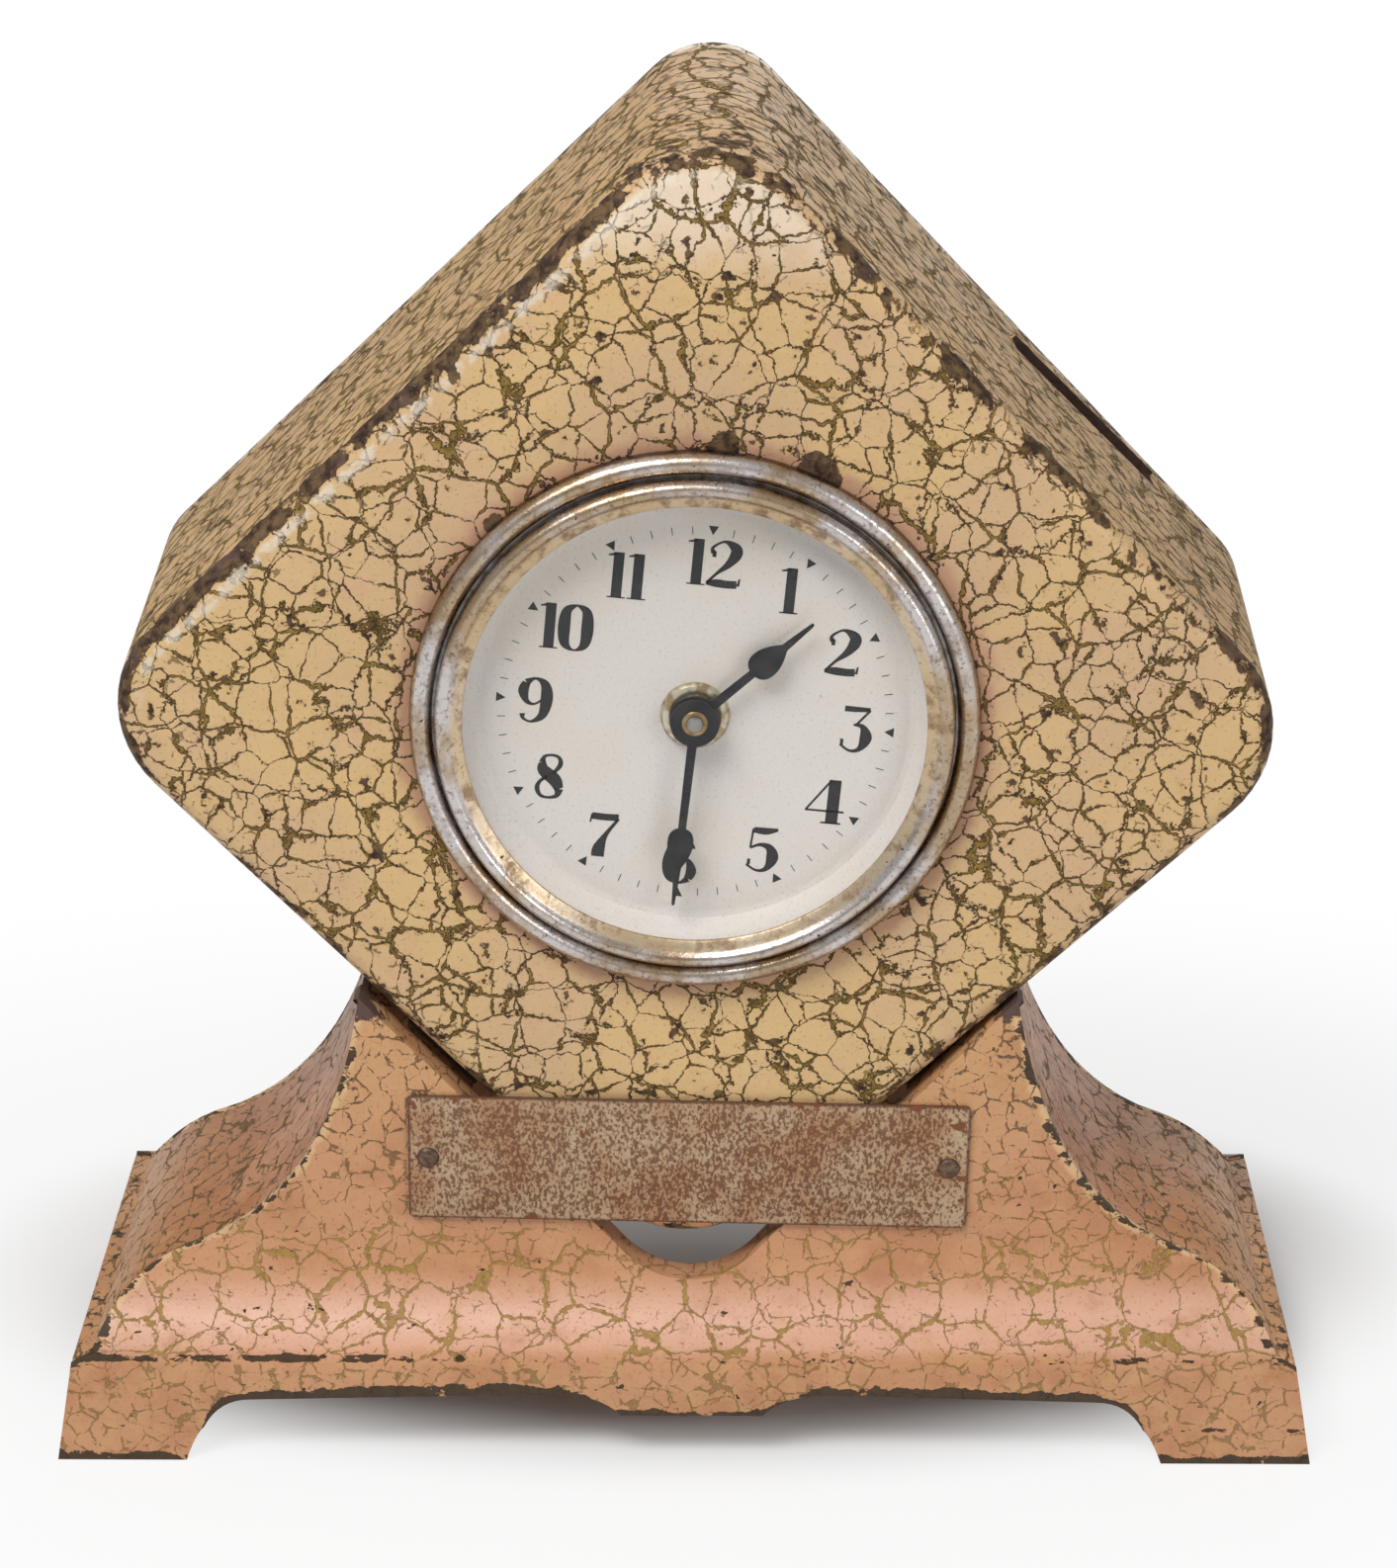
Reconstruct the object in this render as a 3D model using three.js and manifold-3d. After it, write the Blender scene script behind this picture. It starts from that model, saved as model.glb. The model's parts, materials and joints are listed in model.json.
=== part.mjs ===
// Desk clock: a square steel case set on its corner in the V of a pressed sheet stand.
// A coin slot in the upper right wall makes the space behind the movement a coin box.
// Millimetres, +Z up, the dial faces -Y, and the origin is on the table below the middle.

import * as THREE from 'three';
import { mergeVertices } from 'three/addons/utils/BufferGeometryUtils.js';
import Module from 'manifold-3d';

const wasm = await Module();
wasm.setup();

// Fits that the pieces share
const FACE_GAP = 0.1;
const SEAM_GAP = 0.2;
const FIT = 0.3;
const RING_SIDES = 36;
const SMALL_SIDES = 12;
const PIVOT_SIDES = 8;
const CORNER_STEPS = 6;
const PATH_STEPS = 7;
const OVERRUN = 5;

// Stand
const STAND_WIDTH = 160;
const STAND_DEPTH = 60;
const STAND_SHEET = 1.0;
const PLINTH_HEIGHT = 13.5;
const PLINTH_BATTER_X = 2.3;
const PLINTH_BATTER_Y = 1.5;
const UPRIGHT_HALF_DEPTH = 19.2;
const COVE_TOP = 26;
const LEDGE_WIDTH = 2.3;
const LEDGE_RISE = 0.5;
const FLARE_HALF_WIDTH = 64.5;
const FLARE_HEIGHT = 24.8;
const PEAK_HALF_WIDTH = 41.1;
const PEAK_HEIGHT = 60.3;
const CRADLE_X = 0.8;
const CRADLE_SLOPE = 47.5;
const CRADLE_RADIUS = 11.7;
const CRADLE_LIP = 4.2;
const FOOT_WIDTH_LEFT = 16.5;
const FOOT_WIDTH_RIGHT = 19;
const SIDE_FOOT_WIDTH = 11;
const APRON_HEIGHT = 9.3;
const APRON_END_HEIGHT = 8.4;
const DROP_HEIGHT = 6.4;
const DROP_X = 1.2;
const DROP_HALF_WIDTH = 9;
const DROP_SHOULDER = 17.5;
const DROP_PULL = 2.8;

// Curves of the stand: how far each control point stands off from the point beside it
const COVE_PULL_Y = 1.3;
const COVE_PULL_Z = 1.5;
const FLARE_PULL_X = 4;
const FLARE_PULL_Z = 3;
const PEAK_PULL_X = 4.5;
const PEAK_PULL_Z = 6.4;
const PEAK_RUNOUT = 2;
const FOOT_CURVE = 8.4;
const FOOT_CURVE_PULL = 4.4;
const FOOT_KNEE_X = 2.4;
const FOOT_KNEE_Z = 4.6;
const FOOT_TOE_PULL_X = 1.2;
const FOOT_TOE_PULL_Z = 3.5;
const SIDE_FOOT_CURVE = 7;
const SIDE_FOOT_PULL = 1;

// Saddle straps under the case
const STRAP_WIDTH = 12;
const STRAP_SHEET = 1.0;
const STRAP_X = 31;
const PAD_LENGTH = 22;
const SEAT_SCREW_RADIUS = 1.5;
const SEAT_SCREW_LENGTH = 8;
const SEAT_SCREW_HEAD_RADIUS = 3;
const SEAT_SCREW_HEAD_HEIGHT = 2;

// Nameplate, bare, with a rivet at each end
const NAMEPLATE_WIDTH = 70.9;
const NAMEPLATE_HEIGHT = 17.3;
const NAMEPLATE_SHEET = 0.5;
const NAMEPLATE_X = 0.75;
const NAMEPLATE_Z = 37.7;
const NAMEPLATE_TILT = 1.15;
const RIVET_SPACING = 65.9;
const RIVET_HEAD_RADIUS = 1.4;
const RIVET_HEAD_HEIGHT = 0.8;
const RIVET_SHANK_RADIUS = 0.9;
const RIVET_TAIL_HEIGHT = 0.7;

// Case
const CASE_SIDE = 107.7;
const CASE_DEPTH = 54;
const CASE_FRONT_CORNER = 14.5;
const CASE_BACK_CORNER = 10.5;
const CASE_FILLET = 2.6;
const CASE_SHEET = 0.9;
const CASE_X = 1.8;
const CASE_SETBACK = 0.4;
const CASE_RISE = 36.4;
const CASE_LEAN = 1.55;
const SLOT_LENGTH = 27;
const SLOT_WIDTH = 3.2;
const SLOT_ALONG = 69;
const SLOT_DEPTH_IN = 43.8;
const SLOT_SKEW = 9;
const SLOT_LIP_HEIGHT = 0.7;
const SLOT_LIP_THICKNESS = 0.8;

// Back cover and coin door
const COVER_SHEET = 1.0;
const COVER_INSET = 1.4;
const TAB_REACH = 12.5;
const COVER_SCREW_RADIUS = 1.4;
const COVER_SCREW_HEAD = 2.9;
const COVER_SCREW_HEAD_HEIGHT = 1.6;
const COVER_SCREW_LENGTH = 5;
const SCREW_SLOT_WIDTH = 0.7;
const SCREW_SLOT_DEPTH = 0.7;
const KEY_HOLE_RADIUS = 4.2;
const SET_HOLE_RADIUS = 2.6;
const DOOR_WIDTH = 32;
const DOOR_HEIGHT = 21;
const DOOR_SHEET = 1.0;
const DOOR_LAP = 2.5;
const HINGE_DROP = 33;
const HINGE_BARREL_RADIUS = 1.7;
const HINGE_PIN_RADIUS = 0.8;
const HINGE_BARREL_LENGTH = 18;
const HINGE_EAR = 1.2;
const HINGE_PIN_HEAD = 0.6;
const LOCK_RADIUS = 3.2;
const LOCK_SIDES = 18;
const LOCK_HEAD_RADIUS = 4.4;
const LOCK_HEAD_HEIGHT = 1.4;
const LOCK_TONGUE = 9;
const LOCK_TONGUE_WIDTH = 4.4;
const LOCK_TONGUE_SHEET = 1.2;
const LOCK_SLOT_LENGTH = 4;
const LOCK_SLOT_WIDTH = 1;
const LOCK_SLOT_DEPTH = 1;

// Dial opening: cup, trim ring, bezel, glass, dial
const MOVEMENT_TURN = 4.0;
const MOVEMENT_RISE = 0.5;
const TRIM_RADIUS = 34.55;
const TRIM_WIDTH = 2.5;
const TRIM_HEIGHT = 2.3;
const BEZEL_RADIUS = 31.45;
const BEZEL_HEIGHT = 3.4;
const OPENING_RADIUS = 28.05;
const BEZEL_SKIRT = 1.6;
const BEZEL_WALL = 0.5;
const BEZEL_LIP = 0.35;
const BEZEL_BEAD = 1.0;
const BEZEL_CHAMFER = 1.3;
const CUP_RADIUS = 30.9;
const CUP_SHEET = 0.6;
const CUP_FLANGE = 2.6;
const CUP_DEPTH = 26.2;
const GLASS_THICKNESS = 0.8;
const GLASS_SETBACK = -0.9;
const DIAL_RECESS = 2.6;
const DIAL_SHEET = 0.4;
const DIAL_FLAT_RADIUS = 26.3;
const DIAL_RIM = 1;
const DIAL_HOLE_RADIUS = 3.3;
const DIAL_FOOT_RADIUS = 0.9;
const DIAL_FOOT_CIRCLE = 23;
const DIAL_FOOT_ANGLES = [130, 300];
const EYELET_RADIUS = 4.25;
const EYELET_HEIGHT = 0.8;
const EYELET_WALL = 0.5;

// Hands, turned clockwise from twelve
const HOUR_HAND_ANGLE = 43.6;
const HOUR_HAND_LENGTH = 18.9;
const HOUR_SPADE_AT = 11.6;
const HOUR_SPADE_WIDTH = 3.6;
const HOUR_BOSS_RADIUS = 3.1;
const HOUR_PIPE_RADIUS = 2.2;
const MINUTE_HAND_ANGLE = 181.1;
const MINUTE_HAND_LENGTH = 24.2;
const MINUTE_SPADE_AT = 16.4;
const MINUTE_SPADE_WIDTH = 3.2;
const MINUTE_BOSS_RADIUS = 3.0;
const HAND_STEM_WIDTH = 1.15;
const HAND_SHEET = 0.4;
const HOUR_HAND_RISE = 1.2;
const MINUTE_HAND_RISE = 2.3;
const COLLET_RADIUS = 1.6;
const COLLET_STEM_RADIUS = 1.3;

// Movement plates and pillars
const PLATE_RADIUS = 29;
const PLATE_SHEET = 1.2;
const PLATE_SETBACK = 7.6;
const PLATE_SPACING = 15;
const PILLAR_CIRCLE = 26;
const PILLAR_ANGLES = [190, 85, -35];
const PILLAR_RADIUS = 2.0;
const PILLAR_END_RADIUS = 1.3;

// Train: tooth counts, modules and directions from one arbor to the next
const MAIN_TEETH = 48;
const CENTRE_PINION_TEETH = 8;
const MAIN_MODULE = 0.5;
const MAIN_DIRECTION = 225;
const CENTRE_TEETH = 48;
const THIRD_PINION_TEETH = 6;
const CENTRE_MODULE = 0.42;
const THIRD_DIRECTION = 60;
const THIRD_TEETH = 45;
const FOURTH_PINION_TEETH = 6;
const THIRD_MODULE = 0.38;
const FOURTH_DIRECTION = -30;
const FOURTH_TEETH = 48;
const ESCAPE_PINION_TEETH = 6;
const FOURTH_MODULE = 0.34;
const ESCAPE_DIRECTION = -80;
const ESCAPE_TEETH = 15;
const ESCAPE_RADIUS = 5.5;
const CANNON_TEETH = 10;
const MINUTE_WHEEL_TEETH = 30;
const MINUTE_PINION_TEETH = 8;
const HOUR_WHEEL_TEETH = 32;
const MOTION_MODULE = 0.45;
const MOTION_DIRECTION = 180;
const DEPTHING_PLAY = 0.06;

// Layers of the movement, measured back from the inner face of the front plate
const MAIN_LAYER = 0.8;
const RATCHET_LAYER = 2.6;
const SPRING_LAYER = 4.2;
const CENTRE_LAYER = 11.4;
const THIRD_LAYER = 8.4;
const FOURTH_LAYER = 5.5;
const ESCAPE_LAYER = 2.8;
const LEVER_LAYER = 3.9;
const ROLLER_LAYER = 4.9;
const BALANCE_LAYER = 8.6;
const HAIRSPRING_LAYER = 11.0;
const WHEEL_SHEET = 0.9;
const MAIN_WHEEL_SHEET = 1.4;
const PINION_LENGTH = 2.0;
const ARBOR_RADIUS = 0.6;
const PIVOT_RADIUS = 0.45;

// Arbors that reach the back of the case
const CENTRE_ARBOR_RADIUS = 1.0;
const CENTRE_SLEEVE_RADIUS = 1.9;
const CANNON_WALL = 0.45;
const WINDING_ARBOR_RADIUS = 1.8;
const KEY_SQUARE_RADIUS = 1.26;
const MAINSPRING_WIDTH = 6;
const MAINSPRING_RADIUS = 11.2;
const MAINSPRING_TURNS = 4;
const MAINSPRING_SHEET = 0.45;
const MAINSPRING_TAIL_ANGLE = 35;
const RATCHET_TEETH = 16;
const RATCHET_RADIUS = 5.0;
const RATCHET_TOOTH = 1;
const RATCHET_TOOTH_STEP = 0.12;
const RATCHET_SHEET = 1;
const CLICK_OFFSET = 2.6;
const CLICK_PIVOT_ANGLE = 10;
const CLICK_BEAK_ANGLE = 48;
const CLICK_HALF_WIDTH = 0.9;
const CLICK_TAIL_SHARE = 0.25;
const CLICK_BEAK_SHARE = 1.1;
const CLICK_PIN_RADIUS = 0.6;
const CLICK_SHEET = 0.9;

// Motion work behind the dial
const MOTION_PLAY = 0.5;
const CANNON_TOOTH_LENGTH = 1.3;
const MOTION_WHEEL_SHEET = 0.8;
const MINUTE_WHEEL_STANDOFF = 0.2;
const MINUTE_PINION_REACH = 2.4;
const HOUR_WHEEL_STANDOFF = 1.6;
const WHEEL_LAP = 0.4;

// Escapement
const LEVER_DIRECTION = 260;
const LEVER_DISTANCE = 7.6;
const PALLET_PIN_RADIUS = 0.3;
const PALLET_PIN_CLEARANCE = 0.35;
const PALLET_SPREAD = 32;
const BALANCE_DIRECTION = 240;
const BALANCE_DISTANCE = 7.6;
const BALANCE_RADIUS = 6.5;
const BALANCE_RIM = 0.9;
const BALANCE_RIM_DEPTH = 1.2;
const BALANCE_ARM_WIDTH = 1.3;
const BALANCE_ARM_SHEET = 0.7;
const BALANCE_HUB_RADIUS = 1.6;
const ESCAPE_TOOTH = 1.6;
const ESCAPE_SHEET = 0.8;
const LEVER_SHEET = 0.7;
const LEVER_BOSS_RADIUS = 1.3;
const LEVER_ARM_WIDTH = 1.1;
const PALLET_EYE_RADIUS = 0.7;
const PALLET_PIN_RUNOUT = 0.2;
const FORK_WIDTH = 2.2;
const FORK_NOTCH_DEPTH = 1.2;
const FORK_NOTCH_WIDTH = 0.9;
const FORK_HEAD_LENGTH = 3;
const FORK_WAIST_CUT = 1;
const FORK_WAIST_OFFSET = 1.05;
const ROLLER_RADIUS = 2.1;
const ROLLER_SHEET = 0.6;
const IMPULSE_PIN_CIRCLE = 1.6;
const IMPULSE_PIN_RADIUS = 0.25;
const IMPULSE_PIN_REACH = 0.3;
const HAIRSPRING_RADIUS = 4.4;
const HAIRSPRING_TURNS = 5;
const HAIRSPRING_SHEET = 0.22;
const HAIRSPRING_WIDTH = 0.8;
const HAIRSPRING_STUD_ANGLE = 60;
const HAIRSPRING_TAIL_ANGLE = 30;
const REGULATOR_LENGTH = 9;
const REGULATOR_WIDTH = 1.2;
const REGULATOR_SHEET = 0.5;
const REGULATOR_BOSS_RADIUS = 2.4;
const REGULATOR_LAP = 0.7;
const REGULATOR_ANGLE = 40;

// Key and set knob behind the case
const KEY_HALF_SPAN = 8.2;
const KEY_LENGTH = 12;
const KEY_WING = 1.6;
const KEY_STEM_RADIUS = 2.9;
const KEY_STEM_LENGTH = 6;
const KEY_NECK = 2;
const KEY_NECK_RISE = 3;
const KEY_CORNER = 3.5;
const KEY_NOTCH = 2.5;
const KEY_SOCKET = 4.6;
const KNOB_RADIUS = 4.4;
const KNOB_LENGTH = 7;
const KNOB_FLUTES = 12;
const KNOB_FLUTE_DEPTH = 0.35;
const KNOB_COLLAR = 1.5;
const KNOB_COLLAR_RADIUS = 2.42;
const KNOB_CLEARANCE = 1.6;

// Values worked out from the driving sizes
const CASE_FRONT = -CASE_DEPTH / 2;
const CASE_BACK = CASE_DEPTH / 2;
const CASE_Y = CASE_BACK - UPRIGHT_HALF_DEPTH + CASE_SETBACK;
const CASE_Z = PEAK_HEIGHT + CASE_RISE;
const CASE_HALF = CASE_SIDE / Math.SQRT2;
const COVER_BACK = CASE_BACK - COVER_INSET;
const COVER_FRONT = COVER_BACK - COVER_SHEET;
const DIAL_FACE = CASE_FRONT + DIAL_RECESS;
const GLASS_BACK = CASE_FRONT + GLASS_SETBACK;
const GLASS_FRONT = GLASS_BACK - GLASS_THICKNESS;
const FLANGE_FRONT = CASE_FRONT - FACE_GAP - CUP_SHEET;
const PLATE_FRONT = CASE_FRONT + PLATE_SETBACK;
const PLATE_INNER = PLATE_FRONT + PLATE_SHEET;
const BACK_PLATE_FRONT = PLATE_INNER + PLATE_SPACING;
const BACK_PLATE_BACK = BACK_PLATE_FRONT + PLATE_SHEET;
const CUP_BACK = CASE_FRONT + CUP_DEPTH;
const KEY_BACK = COVER_BACK + KNOB_CLEARANCE + KEY_LENGTH;
const MIDDLE_Y = (CASE_Y + KEY_BACK - STAND_DEPTH / 2) / 2;

const rad = THREE.MathUtils.degToRad;

function finish(name, colour, roughness, metalness) {
  const material = new THREE.MeshStandardMaterial({ color: colour, roughness, metalness });
  material.name = name;
  return material;
}

const finishes = {
  casePaint: () => finish('case_paint', '#d6b686', 0.45, 0),
  standPaint: () => finish('stand_paint', '#d69f7d', 0.5, 0),
  rustyTin: () => finish('rusty_tin', '#a58a74', 0.65, 0.6),
  rivetSteel: () => finish('rivet_steel', '#6d5a4c', 0.5, 0.8),
  chrome: () => finish('chrome', '#d9d4cc', 0.15, 1),
  glass: () => finish('glass', '#eef3f2', 0.05, 0),
  dialPaint: () => finish('dial_paint', '#e2dccf', 0.6, 0.1),
  handBlack: () => finish('hand_black', '#1d1b1c', 0.35, 0.4),
  brass: () => finish('brass', '#b08d4c', 0.35, 1),
  steel: () => finish('steel', '#8d8d8c', 0.35, 1),
  springSteel: () => finish('spring_steel', '#4c5566', 0.3, 1),
  felt: () => finish('felt', '#4b3a31', 0.95, 0),
};

// Shapes and solids

function solid(geometry) {
  const bare = geometry.index ? geometry.toNonIndexed() : geometry.clone();
  bare.deleteAttribute('normal');
  bare.deleteAttribute('uv');
  const merged = mergeVertices(bare, 1e-4);
  const source = merged.index.array;
  const triVerts = [];
  for (let i = 0; i < source.length; i += 3) {
    const [a, b, c] = [source[i], source[i + 1], source[i + 2]];
    if (a !== b && b !== c && c !== a) triVerts.push(a, b, c);
  }
  const vertProperties = Float32Array.from(merged.attributes.position.array);
  const mesh = new wasm.Mesh({ numProp: 3, vertProperties, triVerts: Uint32Array.from(triVerts) });
  return new wasm.Manifold(mesh);
}

function body(name, material, manifold) {
  const mesh = manifold.getMesh();
  const geometry = new THREE.BufferGeometry();
  geometry.setAttribute('position', new THREE.BufferAttribute(mesh.vertProperties.slice(), 3));
  geometry.setIndex(new THREE.BufferAttribute(mesh.triVerts.slice(), 1));
  geometry.computeVertexNormals();
  const part = new THREE.Mesh(geometry, material);
  part.name = name;
  return part;
}

function polar(radius, degrees) {
  return new THREE.Vector2(radius * Math.cos(rad(degrees)), radius * Math.sin(rad(degrees)));
}

function directionOf(from, to) {
  return THREE.MathUtils.radToDeg(Math.atan2(to.y - from.y, to.x - from.x));
}

function circleShape(radius, x = 0, z = 0, sides = SMALL_SIDES) {
  const points = [];
  for (let side = 0; side < sides; side += 1) {
    points.push(polar(radius, (360 * side) / sides).add(new THREE.Vector2(x, z)));
  }
  return new THREE.Shape(points);
}

function rectangleShape(width, height, x = 0, z = 0) {
  const shape = new THREE.Shape();
  shape.moveTo(x - width / 2, z - height / 2);
  shape.lineTo(x + width / 2, z - height / 2);
  shape.lineTo(x + width / 2, z + height / 2);
  shape.lineTo(x - width / 2, z + height / 2);
  shape.closePath();
  return shape;
}

// A square on its corner, with round corners
function diamondShape(side, corner) {
  const shape = new THREE.Shape();
  const reach = side / Math.SQRT2 - corner * Math.SQRT2;
  for (let quarter = 0; quarter < 4; quarter += 1) {
    const centre = polar(reach, 90 * quarter);
    shape.absarc(centre.x, centre.y, corner, rad(90 * quarter - 45), rad(90 * quarter + 45), false);
  }
  shape.closePath();
  return shape;
}

// A front-view outline, given depth along Y
function alongY(shape, from, to, sides = 5) {
  const geometry = new THREE.ExtrudeGeometry(shape, {
    depth: to - from,
    bevelEnabled: false,
    curveSegments: sides,
  });
  geometry.rotateX(Math.PI / 2);
  geometry.translate(0, to, 0);
  return solid(geometry);
}

// A side-view outline in Y and Z, given length along X
function alongX(shape, from, to) {
  const geometry = new THREE.ExtrudeGeometry(shape, { depth: to - from, bevelEnabled: false });
  const axes = [new THREE.Vector3(0, 1, 0), new THREE.Vector3(0, 0, 1), new THREE.Vector3(1, 0, 0)];
  geometry.applyMatrix4(new THREE.Matrix4().makeBasis(...axes));
  geometry.translate(from, 0, 0);
  return solid(geometry);
}

function disc(radius, from, to, x = 0, z = 0, sides = SMALL_SIDES) {
  const geometry = new THREE.CylinderGeometry(radius, radius, to - from, sides);
  geometry.translate(x, (from + to) / 2, z);
  return solid(geometry);
}

// A turned piece about a line along Y, from a closed outline of radius and depth
function turned(outline, sides = RING_SIDES) {
  const points = outline.map(([radius, depth]) => new THREE.Vector2(radius, depth));
  if (THREE.ShapeUtils.area(points) < 0) points.reverse();
  if (points[0].x > 0 || points[points.length - 1].x > 0) points.push(points[0].clone());
  return solid(new THREE.LatheGeometry(points, sides));
}

function offsetPath(path, distance) {
  return path.map((point, index) => {
    const before = path[Math.max(index - 1, 0)];
    const after = path[Math.min(index + 1, path.length - 1)];
    const first = point.clone().sub(before).normalize();
    const second = after.clone().sub(point).normalize();
    const along = first.add(second).normalize();
    const turn = index > 0 && index < path.length - 1
      ? Math.cos(point.clone().sub(before).angleTo(after.clone().sub(point)) / 2)
      : 1;
    return new THREE.Vector2(point.x - (along.y * distance) / turn, point.y + (along.x * distance) / turn);
  });
}

// Stand

// Outer face of the front of the stand in Y and Z, from the ground up: plinth, cove, upright
function frontPath() {
  const path = new THREE.Path();
  const crease = STAND_DEPTH / 2 - PLINTH_BATTER_Y;
  path.moveTo(STAND_DEPTH / 2, 0);
  path.lineTo(crease, PLINTH_HEIGHT);
  const pull = UPRIGHT_HALF_DEPTH + COVE_PULL_Y;
  path.quadraticCurveTo(pull, PLINTH_HEIGHT + COVE_PULL_Z, UPRIGHT_HALF_DEPTH, COVE_TOP);
  path.lineTo(UPRIGHT_HALF_DEPTH, PEAK_HEIGHT + PEAK_RUNOUT);
  return path.getPoints(PATH_STEPS);
}

// Outer face of a side of the stand in X and Z: plinth, ledge, flare, cove up to the peak
function sidePath(side) {
  const path = new THREE.Path();
  const peak = PEAK_HALF_WIDTH + side * CRADLE_X;
  const crease = STAND_WIDTH / 2 - PLINTH_BATTER_X;
  const ledge = crease - LEDGE_WIDTH;
  path.moveTo(STAND_WIDTH / 2, 0);
  path.lineTo(crease, PLINTH_HEIGHT);
  path.lineTo(ledge, PLINTH_HEIGHT + LEDGE_RISE);
  path.quadraticCurveTo(ledge - FLARE_PULL_X, FLARE_HEIGHT - FLARE_PULL_Z, FLARE_HALF_WIDTH, FLARE_HEIGHT);
  path.quadraticCurveTo(peak + PEAK_PULL_X, FLARE_HEIGHT + PEAK_PULL_Z, peak, PEAK_HEIGHT);
  path.lineTo(peak, PEAK_HEIGHT + PEAK_RUNOUT);
  return path.getPoints(PATH_STEPS);
}

// The sheet's own thickness along a path, mirrored for the side that faces the other way
function bandShape(path, sheet, side) {
  const inner = offsetPath(path, sheet);
  const ground = new THREE.Vector2(inner[0].x, 0);
  const points = [...path, ...inner.slice(1).reverse(), ground];
  return new THREE.Shape(side < 0 ? points.map(mirrored) : points);
}

function mirrored(point) {
  return new THREE.Vector2(-point.x, point.y);
}

// The area between two facing paths, run out below the ground so that the cut is clean
function regionShape(rightPath, leftPath, inset) {
  const [right, left] = [rightPath, leftPath].map((path) => {
    const inner = offsetPath(path, inset);
    return [new THREE.Vector2(inner[0].x, -OVERRUN), ...inner];
  });
  return new THREE.Shape([...right, ...left.map(mirrored).reverse()]);
}

const cradle = (() => {
  const slope = rad(CRADLE_SLOPE);
  const run = (PEAK_HALF_WIDTH - CRADLE_RADIUS * Math.sin(slope)) / Math.cos(slope);
  const centre = PEAK_HEIGHT + CRADLE_RADIUS * Math.cos(slope) - run * Math.sin(slope);
  return { slope, centre };
})();

// Height of the cradle's edge at a distance from its middle
function cradleHeight(distance) {
  return PEAK_HEIGHT - (PEAK_HALF_WIDTH - distance) * Math.tan(cradle.slope);
}

// The V opening, grown outwards by a sheet's thickness for the lip below it
function cradleOpening(grow) {
  const radius = CRADLE_RADIUS + grow;
  const from = -Math.PI / 2 - cradle.slope;
  const to = -Math.PI / 2 + cradle.slope;
  const tangent = new THREE.Vector2(radius * Math.cos(to), cradle.centre + radius * Math.sin(to));
  const reach = STAND_WIDTH;
  const far = new THREE.Vector2(Math.cos(cradle.slope), Math.sin(cradle.slope));
  far.multiplyScalar(reach).add(tangent);
  const shape = new THREE.Shape();
  shape.moveTo(CRADLE_X + far.x, far.y);
  shape.lineTo(CRADLE_X - far.x, far.y);
  shape.absarc(CRADLE_X, cradle.centre, radius, from, to, false);
  shape.closePath();
  return shape;
}

// Half of the space below the apron, from the middle drop out to the foot, in X and Z
function apronHalf(footWidth, drop) {
  const foot = STAND_WIDTH / 2 - footWidth;
  const path = new THREE.Path();
  path.moveTo(drop + DROP_HALF_WIDTH, DROP_HEIGHT);
  const dropPull = drop + DROP_HALF_WIDTH + DROP_PULL;
  path.quadraticCurveTo(dropPull, APRON_HEIGHT, drop + DROP_SHOULDER, APRON_HEIGHT);
  path.lineTo(foot - FOOT_CURVE, APRON_END_HEIGHT);
  path.quadraticCurveTo(foot - FOOT_CURVE_PULL, APRON_END_HEIGHT, foot - FOOT_KNEE_X, FOOT_KNEE_Z);
  path.quadraticCurveTo(foot - FOOT_TOE_PULL_X, FOOT_TOE_PULL_Z, foot, 0);
  path.lineTo(foot, -OVERRUN);
  return path.getPoints(4);
}

function apronCut() {
  const right = apronHalf(FOOT_WIDTH_RIGHT, DROP_X);
  const left = apronHalf(FOOT_WIDTH_LEFT, -DROP_X);
  return new THREE.Shape([...right.reverse(), ...left.map(mirrored)]);
}

function sideFootCut() {
  const foot = STAND_DEPTH / 2 - SIDE_FOOT_WIDTH;
  const pull = foot - SIDE_FOOT_PULL;
  const shoulder = foot - SIDE_FOOT_CURVE;
  const shape = new THREE.Shape();
  shape.moveTo(foot, -OVERRUN);
  shape.lineTo(foot, 0);
  shape.quadraticCurveTo(pull, APRON_END_HEIGHT, shoulder, APRON_END_HEIGHT);
  shape.lineTo(-shoulder, APRON_END_HEIGHT);
  shape.quadraticCurveTo(-pull, APRON_END_HEIGHT, -foot, 0);
  shape.lineTo(-foot, -OVERRUN);
  shape.closePath();
  return shape;
}

// Front or back pressing of the stand; side is -1 at the front and 1 at the back
function standPressing(name, side, rivetHoles) {
  const band = bandShape(frontPath(), STAND_SHEET, side);
  const half = STAND_WIDTH / 2;
  const outline = alongY(regionShape(sidePath(1), sidePath(-1), 0), -half, half);
  let sheet = alongX(band, -half, half).intersect(outline);
  const outer = side * UPRIGHT_HALF_DEPTH;
  const inner = outer - side * CRADLE_LIP;
  const [near, far] = [Math.min(outer, inner), Math.max(outer, inner)];
  const lipOutline = alongY(cradleOpening(STAND_SHEET), near, far);
  sheet = sheet.add(lipOutline.intersect(outline));
  sheet = sheet.subtract(alongY(cradleOpening(0), -half, half));
  sheet = sheet.subtract(alongY(apronCut(), -half, half));
  for (const hole of rivetHoles) {
    const bore = disc(RIVET_SHANK_RADIUS + FIT / 2, -half, 0, hole.x, hole.y);
    sheet = sheet.subtract(bore);
  }
  return body(name, finishes.standPaint(), sheet);
}

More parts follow.
